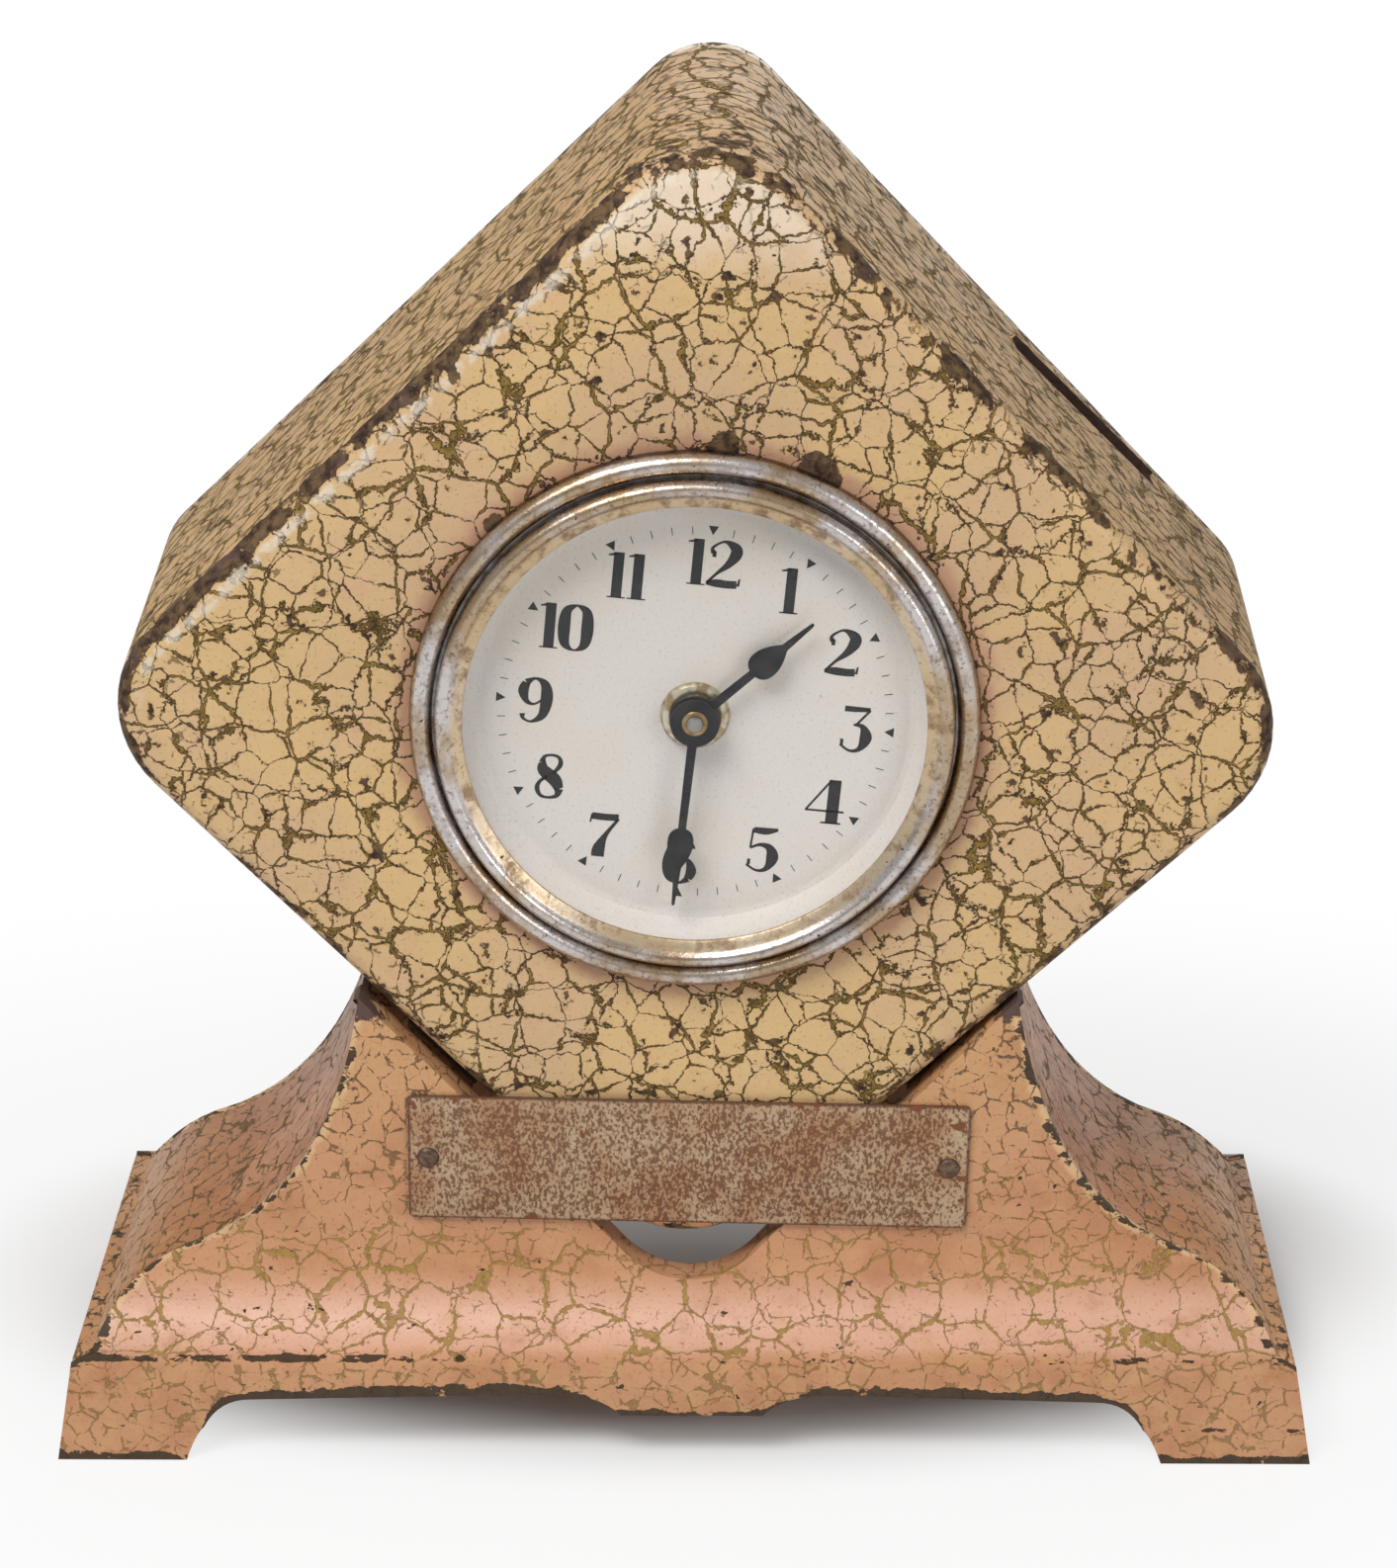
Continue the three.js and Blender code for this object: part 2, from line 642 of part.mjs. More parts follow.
function standSide(name, side) {
  const band = bandShape(sidePath(side), STAND_SHEET, side);
  const half = STAND_WIDTH / 2;
  const between = alongX(regionShape(frontPath(), frontPath(), STAND_SHEET + SEAM_GAP), -half, half);
  let sheet = alongY(band, -half, half).intersect(between);
  sheet = sheet.subtract(alongY(cradleOpening(STAND_SHEET + SEAM_GAP), -half, half));
  sheet = sheet.subtract(alongX(sideFootCut(), -half, half));
  return body(name, finishes.standPaint(), sheet);
}

const nameplatePlace = {
  x: NAMEPLATE_X,
  y: -UPRIGHT_HALF_DEPTH - FACE_GAP,
  z: NAMEPLATE_Z,
};

function rivetPoints() {
  const half = RIVET_SPACING / 2;
  const tilt = rad(NAMEPLATE_TILT);
  return [-1, 1].map((end) => new THREE.Vector2(
    nameplatePlace.x + end * half * Math.cos(tilt),
    nameplatePlace.z - end * half * Math.sin(tilt),
  ));
}

function nameplate() {
  const shape = rectangleShape(NAMEPLATE_WIDTH, NAMEPLATE_HEIGHT);
  for (const end of [-1, 1]) {
    shape.holes.push(circleShape(RIVET_SHANK_RADIUS + FIT / 2, (end * RIVET_SPACING) / 2));
  }
  const plate = body('nameplate', finishes.rustyTin(), alongY(shape, -NAMEPLATE_SHEET, 0, 6));
  plate.position.set(nameplatePlace.x, nameplatePlace.y, nameplatePlace.z);
  plate.rotation.y = rad(NAMEPLATE_TILT);
  return plate;
}

function nameplateRivet(name, point) {
  const head = nameplatePlace.y - NAMEPLATE_SHEET - FACE_GAP;
  const tail = -UPRIGHT_HALF_DEPTH + STAND_SHEET + FACE_GAP;
  const outline = [
    [0, head - RIVET_HEAD_HEIGHT],
    [RIVET_HEAD_RADIUS * 0.6, head - RIVET_HEAD_HEIGHT * 0.75],
    [RIVET_HEAD_RADIUS, head - RIVET_HEAD_HEIGHT / 8],
    [RIVET_HEAD_RADIUS, head],
    [RIVET_SHANK_RADIUS, head],
    [RIVET_SHANK_RADIUS, tail],
    [RIVET_HEAD_RADIUS, tail],
    [RIVET_HEAD_RADIUS * 0.7, tail + RIVET_TAIL_HEIGHT * 0.85],
    [0, tail + RIVET_TAIL_HEIGHT],
  ];
  const rivet = body(name, finishes.rivetSteel(), turned(outline, SMALL_SIDES));
  rivet.position.set(point.x, 0, point.y);
  return rivet;
}

// Where the case leans in the cradle, and how its walls lie against the straps
const caseFrame = new THREE.Group();
caseFrame.position.set(CASE_X, CASE_Y, CASE_Z);
caseFrame.rotation.y = rad(CASE_LEAN);
caseFrame.updateMatrix();
const intoCase = caseFrame.matrix.clone().invert();

// A strap's own frame: X up the slope, Y along the stand, Z square to the strap, towards the case
function saddleFrame(side) {
  const frame = new THREE.Group();
  const normal = new THREE.Vector2(-side * Math.sin(cradle.slope), Math.cos(cradle.slope));
  const drop = STAND_SHEET + FACE_GAP;
  const z = cradleHeight(STRAP_X);
  frame.position.set(CRADLE_X + side * STRAP_X - normal.x * drop, 0, z - normal.y * drop);
  frame.rotation.y = -side * cradle.slope;
  frame.updateMatrix();
  return frame;
}

// Distance from the strap to the case wall along the strap's normal
function saddleGap(frame, side, x) {
  const start = new THREE.Vector3(x, CASE_Y, 0).applyMatrix4(frame.matrix).applyMatrix4(intoCase);
  const end = new THREE.Vector3(x, CASE_Y, 1).applyMatrix4(frame.matrix).applyMatrix4(intoCase);
  const wall = new THREE.Vector3(side, 0, -1).normalize();
  const here = start.dot(wall);
  const step = end.dot(wall) - here;
  return (CASE_SIDE / 2 - here) / step;
}

function saddleStrap(name, side) {
  const frame = saddleFrame(side);
  const half = UPRIGHT_HALF_DEPTH - STAND_SHEET - SEAM_GAP;
  const block = new THREE.BoxGeometry(STRAP_WIDTH, 2 * half, STRAP_SHEET);
  block.translate(0, 0, -STRAP_SHEET / 2);
  const strap = body(name, finishes.standPaint(), solid(block).subtract(solid(seatScrewBore())));
  strap.position.copy(frame.position);
  strap.rotation.copy(frame.rotation);
  return strap;
}

function seatPad(name, side) {
  const frame = saddleFrame(side);
  const edges = [-1, 1].map((end) => saddleGap(frame, side, (end * STRAP_WIDTH) / 2));
  const thickness = Math.min(...edges) - 2 * FIT;
  const block = new THREE.BoxGeometry(STRAP_WIDTH, PAD_LENGTH, thickness);
  block.translate(0, 0, FIT + thickness / 2);
  const pad = body(name, finishes.felt(), solid(block).subtract(solid(seatScrewBore())));
  pad.position.copy(frame.position);
  pad.rotation.copy(frame.rotation);
  return pad;
}

function seatScrew(name, side) {
  const frame = saddleFrame(side);
  const under = -STRAP_SHEET - FACE_GAP;
  const outline = [
    [0, under - SEAT_SCREW_HEAD_HEIGHT],
    [SEAT_SCREW_HEAD_RADIUS * 0.7, under - SEAT_SCREW_HEAD_HEIGHT * 0.9],
    [SEAT_SCREW_HEAD_RADIUS, under - SEAT_SCREW_HEAD_HEIGHT * 0.35],
    [SEAT_SCREW_HEAD_RADIUS, under],
    [SEAT_SCREW_RADIUS, under],
    [SEAT_SCREW_RADIUS, under + SEAT_SCREW_LENGTH],
    [0, under + SEAT_SCREW_LENGTH],
  ];
  const screw = body(name, finishes.steel(), turned(outline, SMALL_SIDES));
  screw.geometry.rotateX(Math.PI / 2);
  screw.position.copy(frame.position);
  screw.rotation.copy(frame.rotation);
  return screw;
}

// The screw's clearance hole along its own axis, long enough for strap, pad and case wall
function seatScrewBore() {
  const radius = SEAT_SCREW_RADIUS + FIT;
  const bore = new THREE.CylinderGeometry(radius, radius, 2 * SEAT_SCREW_LENGTH, SMALL_SIDES);
  bore.rotateX(Math.PI / 2);
  return bore;
}

function caseScrewBore(side) {
  const bore = seatScrewBore().applyMatrix4(saddleFrame(side).matrix);
  return solid(bore.applyMatrix4(intoCase));
}

// Case

// The case's solid form, or the hollow inside it when inset by the sheet's thickness
function roundedBlock(inset, steps) {
  const fillet = CASE_FILLET - inset;
  const side = CASE_SIDE - 2 * inset;
  const front = CASE_FRONT + inset;
  const rings = [];
  for (let step = 0; step <= steps; step += 1) {
    const turn = rad((90 * step) / steps);
    const shrink = fillet * (1 - Math.sin(turn));
    const depth = front + fillet * (1 - Math.cos(turn));
    rings.push(diamondRing(side - 2 * shrink, CASE_FRONT_CORNER - inset - shrink, depth));
  }
  rings.push(diamondRing(side, CASE_BACK_CORNER - inset, CASE_BACK));
  rings.push(diamondRing(side, CASE_BACK_CORNER - inset, CASE_BACK + inset * OVERRUN));
  return loft(inset > 0 ? rings : rings.slice(0, -1));
}

// Points around a round-cornered diamond at one depth
function diamondRing(side, corner, depth) {
  const reach = side / Math.SQRT2 - corner * Math.SQRT2;
  const points = [];
  for (let quarter = 0; quarter < 4; quarter += 1) {
    for (let step = 0; step <= CORNER_STEPS; step += 1) {
      const angle = 90 * (quarter + step / CORNER_STEPS) - 45;
      const point = polar(reach, 90 * quarter).add(polar(corner, angle));
      points.push(new THREE.Vector3(point.x, depth, point.y));
    }
  }
  return points;
}

// A convex solid skinned over rings of equal point counts, with a flat cap at each end
function loft(rings) {
  const count = rings[0].length;
  const index = [];
  for (let ring = 1; ring < rings.length; ring += 1) {
    for (let here = 0; here < count; here += 1) {
      const next = (here + 1) % count;
      const [a, b] = [(ring - 1) * count + here, (ring - 1) * count + next];
      index.push(a, b + count, b, a, a + count, b + count);
    }
  }
  const last = (rings.length - 1) * count;
  for (let here = 1; here < count - 1; here += 1) {
    index.push(0, here, here + 1, last, last + here + 1, last + here);
  }
  const geometry = new THREE.BufferGeometry().setFromPoints(rings.flat());
  geometry.setIndex(index);
  return solid(geometry);
}

// A block centred on the coin slot in the upper right wall, or set back from it
function slotBlock(length, width, height, inwards) {
  const block = new THREE.BoxGeometry(length, width, height);
  block.translate(0, inwards, 0);
  block.rotateZ(rad(SLOT_SKEW));
  block.translate(SLOT_ALONG - CASE_SIDE / 2, CASE_FRONT + SLOT_DEPTH_IN, CASE_SIDE / 2);
  block.rotateY(Math.PI / 4);
  return solid(block);
}

const caseApex = CASE_HALF - CASE_BACK_CORNER * (Math.SQRT2 - 1);
const coverScrewCircle = caseApex - TAB_REACH / 2 - 1;

// The four screws' clearance holes, cut on both sides of a depth
function coverScrewHoles(depth) {
  const holes = [0, 1, 2, 3].map((corner) => {
    const point = polar(coverScrewCircle, 90 * corner);
    return disc(COVER_SCREW_RADIUS + FIT, depth - OVERRUN, depth + OVERRUN, point.x, point.y);
  });
  return holes.reduce((joined, hole) => joined.add(hole));
}

// A tab in each corner, which the back cover's screws go into
function cornerTabs() {
  const inside = diamondShape(CASE_SIDE - CASE_SHEET, CASE_BACK_CORNER - CASE_SHEET / 2);
  const back = COVER_FRONT - FACE_GAP;
  const square = 2 * (caseApex - TAB_REACH);
  const middle = alongY(rectangleShape(square, square), back - OVERRUN, back + OVERRUN);
  const tabs = alongY(inside, back - COVER_SHEET, back, 5).subtract(middle);
  return tabs.subtract(coverScrewHoles(back));
}

function caseShell() {
  let shell = roundedBlock(0, 3).subtract(roundedBlock(CASE_SHEET, 1)).add(cornerTabs());
  const behindSlot = (SLOT_WIDTH + SLOT_LIP_THICKNESS) / 2;
  shell = shell.add(slotBlock(SLOT_LENGTH, SLOT_LIP_THICKNESS, 2 * SLOT_LIP_HEIGHT, behindSlot));
  shell = shell.subtract(slotBlock(SLOT_LENGTH, SLOT_WIDTH, 2 * OVERRUN, 0));
  const [before, behind] = [CASE_FRONT - OVERRUN, CASE_FRONT + OVERRUN];
  shell = shell.subtract(disc(CUP_RADIUS + FIT, before, behind, 0, MOVEMENT_RISE, RING_SIDES));
  shell = shell.subtract(caseScrewBore(-1)).subtract(caseScrewBore(1));
  return body('case_shell', finishes.casePaint(), shell);
}

// Back cover with its door opening, the hinge ears, and the holes for key and set knob

const hinge = {
  y: COVER_BACK + FIT + HINGE_BARREL_RADIUS,
  z: -HINGE_DROP,
};
const doorOpening = {
  width: DOOR_WIDTH - 2 * DOOR_LAP,
  height: DOOR_HEIGHT - 2 * DOOR_LAP,
  z: hinge.z - HINGE_BARREL_RADIUS - DOOR_HEIGHT / 2,
};
const lockPlace = { x: 0, z: doorOpening.z - doorOpening.height / 2 + LOCK_RADIUS + 1.2 };

function windingPlace() {
  const distance = (MAIN_MODULE * (MAIN_TEETH + CENTRE_PINION_TEETH)) / 2 + DEPTHING_PLAY;
  return polar(distance, MAIN_DIRECTION);
}

// A point of the movement as it lies in the case, turned with the dial
function turnedWithDial(point) {
  const turned = point.clone().rotateAround(new THREE.Vector2(), -rad(MOVEMENT_TURN));
  return turned.add(new THREE.Vector2(0, MOVEMENT_RISE));
}

function alongXDisc(radius, from, to, y, z, sides = SMALL_SIDES) {
  const geometry = new THREE.CylinderGeometry(radius, radius, to - from, sides);
  geometry.rotateZ(Math.PI / 2);
  geometry.translate((from + to) / 2, y, z);
  return solid(geometry);
}

// The pin's clearance hole through the door's barrel and both ears
function hingePinBore() {
  const reach = HINGE_BARREL_LENGTH / 2 + HINGE_EAR + OVERRUN;
  return alongXDisc(HINGE_PIN_RADIUS + FIT / 2, -reach, reach, hinge.y, hinge.z);
}

function hingeEar(x) {
  const reach = hinge.y + HINGE_BARREL_RADIUS - COVER_BACK;
  const ear = new THREE.BoxGeometry(HINGE_EAR, reach + COVER_SHEET / 2, 2 * HINGE_BARREL_RADIUS);
  ear.translate(x, COVER_BACK - COVER_SHEET / 2 + (reach + COVER_SHEET / 2) / 2, hinge.z);
  return solid(ear);
}

function backCover() {
  const side = CASE_SIDE - 2 * CASE_SHEET - 2 * SEAM_GAP;
  let cover = alongY(diamondShape(side, CASE_BACK_CORNER - CASE_SHEET), COVER_FRONT, COVER_BACK);
  for (const end of [-1, 1]) {
    const x = end * (HINGE_BARREL_LENGTH / 2 + FIT + HINGE_EAR / 2);
    cover = cover.add(hingeEar(x));
  }
  cover = cover.subtract(hingePinBore());
  const [before, behind] = [COVER_FRONT - OVERRUN, COVER_BACK + OVERRUN];
  const opening = rectangleShape(doorOpening.width, doorOpening.height, 0, doorOpening.z);
  cover = cover.subtract(alongY(opening, before, behind)).subtract(coverScrewHoles(COVER_BACK));
  const key = turnedWithDial(windingPlace());
  cover = cover.subtract(disc(KEY_HOLE_RADIUS, before, behind, key.x, key.y));
  cover = cover.subtract(disc(SET_HOLE_RADIUS, before, behind, 0, MOVEMENT_RISE));
  return body('back_cover', finishes.casePaint(), cover);
}

function coverScrew(name, corner) {
  const under = COVER_BACK + FACE_GAP;
  const outline = [
    [0, under + COVER_SCREW_HEAD_HEIGHT],
    [COVER_SCREW_HEAD * 0.6, under + COVER_SCREW_HEAD_HEIGHT * 0.88],
    [COVER_SCREW_HEAD, under + COVER_SCREW_HEAD_HEIGHT * 0.3],
    [COVER_SCREW_HEAD, under],
    [COVER_SCREW_RADIUS, under],
    [COVER_SCREW_RADIUS, under - COVER_SCREW_LENGTH],
    [0, under - COVER_SCREW_LENGTH],
  ];
  const point = polar(coverScrewCircle, 90 * corner);
  const screw = turned(outline, SMALL_SIDES);
  const slot = new THREE.BoxGeometry(3 * COVER_SCREW_HEAD, 2 * SCREW_SLOT_DEPTH, SCREW_SLOT_WIDTH);
  slot.translate(0, under + COVER_SCREW_HEAD_HEIGHT, 0);
  const piece = body(name, finishes.steel(), screw.subtract(solid(slot)));
  piece.position.set(point.x, 0, point.y);
  return piece;
}

function coinDoor() {
  const top = hinge.z - HINGE_BARREL_RADIUS / 2;
  const bottom = doorOpening.z - DOOR_HEIGHT / 2;
  const front = COVER_BACK + FIT;
  const shoulder = top - HINGE_BARREL_RADIUS;
  const leaf = rectangleShape(DOOR_WIDTH, shoulder - bottom, 0, (shoulder + bottom) / 2);
  const neck = rectangleShape(HINGE_BARREL_LENGTH, top - bottom, 0, (top + bottom) / 2);
  let door = alongY(leaf, front, front + DOOR_SHEET).add(alongY(neck, front, front + DOOR_SHEET));
  const half = HINGE_BARREL_LENGTH / 2;
  door = door.add(alongXDisc(HINGE_BARREL_RADIUS, -half, half, hinge.y, hinge.z));
  door = door.subtract(hingePinBore());
  const [before, behind] = [front - OVERRUN, front + OVERRUN];
  door = door.subtract(disc(LOCK_RADIUS + FIT / 2, before, behind, lockPlace.x, lockPlace.z));
  return body('coin_door', finishes.casePaint(), door);
}

function hingePin() {
  const end = HINGE_BARREL_LENGTH / 2 + FIT + HINGE_EAR + FACE_GAP;
  const tip = end + HINGE_PIN_HEAD;
  let pin = alongXDisc(HINGE_PIN_RADIUS, -tip, tip, hinge.y, hinge.z);
  for (const [from, to] of [[-tip, -end], [end, tip]]) {
    pin = pin.add(alongXDisc(HINGE_PIN_RADIUS * 1.6, from, to, hinge.y, hinge.z));
  }
  return body('coin_door_pin', finishes.steel(), pin);
}

// Cam lock in the door: round head outside, barrel through the door, tongue behind the cover
function coinLock() {
  const outer = COVER_BACK + FIT + DOOR_SHEET + FACE_GAP;
  const tongueBack = COVER_FRONT - FIT;
  const tongueFront = tongueBack - LOCK_TONGUE_SHEET;
  const head = outer + LOCK_HEAD_HEIGHT;
  let lock = disc(LOCK_HEAD_RADIUS, outer, head, 0, 0, LOCK_SIDES);
  lock = lock.add(disc(LOCK_RADIUS, tongueFront, outer + LOCK_HEAD_HEIGHT / 4, 0, 0, LOCK_SIDES));
  const tongue = rectangleShape(LOCK_TONGUE, LOCK_TONGUE_WIDTH, LOCK_TONGUE / 2, 0);
  lock = lock.add(alongY(tongue, tongueFront, tongueBack));
  const slot = rectangleShape(LOCK_SLOT_WIDTH, LOCK_SLOT_LENGTH);
  lock = lock.subtract(alongY(slot, head - LOCK_SLOT_DEPTH, head + OVERRUN));
  const piece = body('coin_lock', finishes.brass(), lock);
  piece.position.set(lockPlace.x, 0, lockPlace.z);
  return piece;
}

// Dial opening

function movementCup() {
  const inner = CUP_RADIUS - CUP_SHEET;
  const outline = [
    [0, CUP_BACK],
    [CUP_RADIUS, CUP_BACK],
    [CUP_RADIUS, CASE_FRONT - FACE_GAP],
    [CUP_RADIUS + CUP_FLANGE, CASE_FRONT - FACE_GAP],
    [CUP_RADIUS + CUP_FLANGE, FLANGE_FRONT],
    [inner, FLANGE_FRONT],
    [inner, CUP_BACK - CUP_SHEET],
    [0, CUP_BACK - CUP_SHEET],
  ];
  let cup = turned(outline);
  const key = windingPlace();
  const [before, behind] = [CUP_BACK - OVERRUN, CUP_BACK + OVERRUN];
  cup = cup.subtract(disc(WINDING_ARBOR_RADIUS + 2 * FIT, before, behind, key.x, key.y));
  cup = cup.subtract(disc(CENTRE_ARBOR_RADIUS + 2 * FIT, before, behind));
  return body('movement_cup', finishes.steel(), cup);
}

function trimRing() {
  const inner = TRIM_RADIUS - TRIM_WIDTH;
  const overFlange = FLANGE_FRONT - FACE_GAP;
  const step = CUP_RADIUS + CUP_FLANGE + FIT;
  const top = CASE_FRONT - TRIM_HEIGHT;
  const outline = [
    [TRIM_RADIUS, CASE_FRONT - FACE_GAP],
    [TRIM_RADIUS, CASE_FRONT - 0.45 * TRIM_HEIGHT],
    [TRIM_RADIUS - 0.25 * TRIM_WIDTH, top + 0.18 * TRIM_HEIGHT],
    [TRIM_RADIUS - 0.5 * TRIM_WIDTH, top],
    [TRIM_RADIUS - 0.75 * TRIM_WIDTH, top + 0.18 * TRIM_HEIGHT],
    [inner, CASE_FRONT - 0.5 * TRIM_HEIGHT],
    [inner, overFlange],
    [step, overFlange],
    [step, CASE_FRONT - FACE_GAP],
  ];
  return body('trim_ring', finishes.chrome(), turned(outline));
}

function glassBezel() {
  const bottom = FLANGE_FRONT - FACE_GAP;
  const top = CASE_FRONT - BEZEL_HEIGHT;
  const skirt = CUP_RADIUS - CUP_SHEET - SEAM_GAP;
  const skirtInner = skirt - BEZEL_WALL;
  const lipBack = GLASS_FRONT - FACE_GAP;
  const bead = BEZEL_RADIUS - BEZEL_BEAD;
  const outline = [
    [OPENING_RADIUS, lipBack],
    [OPENING_RADIUS, lipBack - BEZEL_LIP],
    [bead - BEZEL_CHAMFER, top + BEZEL_CHAMFER * 0.85],
    [bead - BEZEL_CHAMFER * 0.54, top + BEZEL_CHAMFER * 0.23],
    [bead, top],
    [bead + BEZEL_BEAD * 0.65, top + BEZEL_CHAMFER * 0.3],
    [BEZEL_RADIUS, top + BEZEL_CHAMFER],
    [BEZEL_RADIUS, bottom],
    [skirt, bottom],
    [skirt, bottom + BEZEL_SKIRT],
    [skirtInner, bottom + BEZEL_SKIRT],
    [skirtInner, lipBack],
  ];
  return body('glass_bezel', finishes.chrome(), turned(outline));
}

const glassRadius = CUP_RADIUS - CUP_SHEET - SEAM_GAP - BEZEL_WALL - SEAM_GAP;

function glass() {
  const outline = [
    [0, GLASS_BACK],
    [glassRadius, GLASS_BACK],
    [glassRadius, GLASS_FRONT],
    [0, GLASS_FRONT],
  ];
  return body('glass', finishes.glass(), turned(outline));
}

// Painted dial: a flat with its rim turned up to the glass, and two feet in the front plate
function dial() {
  const rimFront = GLASS_BACK + SEAM_GAP;
  const rimRadius = glassRadius - SEAM_GAP;
  const outline = [
    [DIAL_HOLE_RADIUS, DIAL_FACE],
    [DIAL_FLAT_RADIUS, DIAL_FACE],
    [rimRadius - DIAL_SHEET, rimFront],
    [rimRadius, rimFront],
    [rimRadius, rimFront + DIAL_RIM],
    [DIAL_FLAT_RADIUS + DIAL_SHEET, DIAL_FACE + DIAL_SHEET],
    [DIAL_HOLE_RADIUS, DIAL_FACE + DIAL_SHEET],
  ];
  let face = turned(outline);
  const [footFront, footBack] = [DIAL_FACE + DIAL_SHEET / 2, PLATE_INNER - FIT];
  for (const point of dialFeet()) {
    face = face.add(disc(DIAL_FOOT_RADIUS, footFront, footBack, point.x, point.y, PIVOT_SIDES));
  }
  return body('dial', finishes.dialPaint(), face);
}

function dialFeet() {
  return DIAL_FOOT_ANGLES.map((angle) => polar(DIAL_FOOT_CIRCLE, angle));
}

function dialEyelet() {
  const bore = HOUR_PIPE_RADIUS + FIT;
  const under = DIAL_FACE - FACE_GAP;
  const outline = [
    [bore, under - EYELET_HEIGHT * 0.6],
    [bore + EYELET_WALL, under - EYELET_HEIGHT],
    [EYELET_RADIUS - EYELET_WALL * 1.2, under - EYELET_HEIGHT * 0.7],
    [EYELET_RADIUS, under],
    [DIAL_HOLE_RADIUS - FIT / 2, under],
    [DIAL_HOLE_RADIUS - FIT / 2, DIAL_FACE + DIAL_SHEET],
    [bore, DIAL_FACE + DIAL_SHEET],
  ];
  return body('dial_eyelet', finishes.brass(), turned(outline, RING_SIDES / 2));
}

// Hands

// A spade hand pointing up: round boss, stem, leaf-shaped bulge, thin point
function spadeHand(length, spadeAt, spadeWidth, boss) {
  const shape = new THREE.Shape();
  const stem = HAND_STEM_WIDTH / 2;
  const bulge = spadeWidth / 2;
  const start = Math.asin(stem / boss);
  shape.absarc(0, 0, boss, Math.PI / 2 + start, Math.PI / 2 - start + 2 * Math.PI, false);
  shape.lineTo(stem * 0.8, spadeAt - 2.2);
  shape.quadraticCurveTo(bulge, spadeAt - 1.9, bulge, spadeAt - 0.4);
  shape.quadraticCurveTo(bulge, spadeAt + 0.9, stem * 0.7, spadeAt + 2.6);
  shape.lineTo(0.14, length);
  shape.lineTo(-0.14, length);
  shape.lineTo(-stem * 0.7, spadeAt + 2.6);
  shape.quadraticCurveTo(-bulge, spadeAt + 0.9, -bulge, spadeAt - 0.4);
  shape.quadraticCurveTo(-bulge, spadeAt - 1.9, -stem * 0.8, spadeAt - 2.2);
  shape.closePath();
  return shape;
}

function hourHand() {
  const shape = spadeHand(HOUR_HAND_LENGTH, HOUR_SPADE_AT, HOUR_SPADE_WIDTH, HOUR_BOSS_RADIUS);
  shape.holes.push(circleShape(HOUR_PIPE_RADIUS + FACE_GAP));
  const back = DIAL_FACE - HOUR_HAND_RISE;
  const hand = body('hour_hand', finishes.handBlack(), alongY(shape, back - HAND_SHEET, back, 6));
  hand.rotation.y = rad(HOUR_HAND_ANGLE);
  return hand;
}

function minuteHand() {
  const shape = spadeHand(MINUTE_HAND_LENGTH, MINUTE_SPADE_AT, MINUTE_SPADE_WIDTH, MINUTE_BOSS_RADIUS);
  shape.holes.push(circleShape(COLLET_STEM_RADIUS + FACE_GAP));
  const back = DIAL_FACE - MINUTE_HAND_RISE;
  const hand = body('minute_hand', finishes.handBlack(), alongY(shape, back - HAND_SHEET, back, 6));
  hand.rotation.y = rad(MINUTE_HAND_ANGLE);
  return hand;
}

function minuteHandCollet() {
  const back = DIAL_FACE - MINUTE_HAND_RISE;
  const outline = [
    [CENTRE_ARBOR_RADIUS + FACE_GAP, back + 0.3],
    [COLLET_STEM_RADIUS, back + 0.3],
    [COLLET_STEM_RADIUS, back - HAND_SHEET - FACE_GAP],
    [COLLET_RADIUS, back - HAND_SHEET - FACE_GAP],
    [COLLET_RADIUS - 0.1, back - HAND_SHEET - 0.45],
    [CENTRE_ARBOR_RADIUS + FACE_GAP, back - HAND_SHEET - 0.45],
  ];
  return body('minute_hand_collet', finishes.brass(), turned(outline, SMALL_SIDES));
}

// Gears

// A gear from the corners of one tooth, each a radius and a share of the tooth pitch
function gearShape(teeth, direction, bore, corners) {
  const step = 360 / teeth;
  const points = [];
  for (let tooth = 0; tooth < teeth; tooth += 1) {
    for (const [radius, share] of corners) points.push(polar(radius, direction + (tooth + share) * step));
  }
  const shape = new THREE.Shape(points);
  shape.holes.push(circleShape(bore));
  return shape;
}

// Straight-flanked clock teeth with a pointed tip; a tooth is centred on the given direction
function wheelShape(teeth, module, direction, bore) {
  const pitch = (module * teeth) / 2;
  const root = pitch - module;
  return gearShape(teeth, direction, bore, [[root, -0.3], [pitch + 0.9 * module, 0], [root, 0.3]]);
}

// A pinion has a gap, not a tooth, on the line to the wheel that it meshes with
function pinionShape(teeth, module, direction, bore) {
  const pitch = (module * teeth) / 2;
  const root = pitch - 1.15 * module;
  const tip = pitch + 0.55 * module;
  const corners = [[root, 0.3], [tip, 0.4], [tip, 0.6], [root, 0.7]];
  return gearShape(teeth, direction, bore, corners);
}

function centreDistance(module, wheelTeeth, pinionTeeth) {
  return (module * (wheelTeeth + pinionTeeth)) / 2 + DEPTHING_PLAY;
}

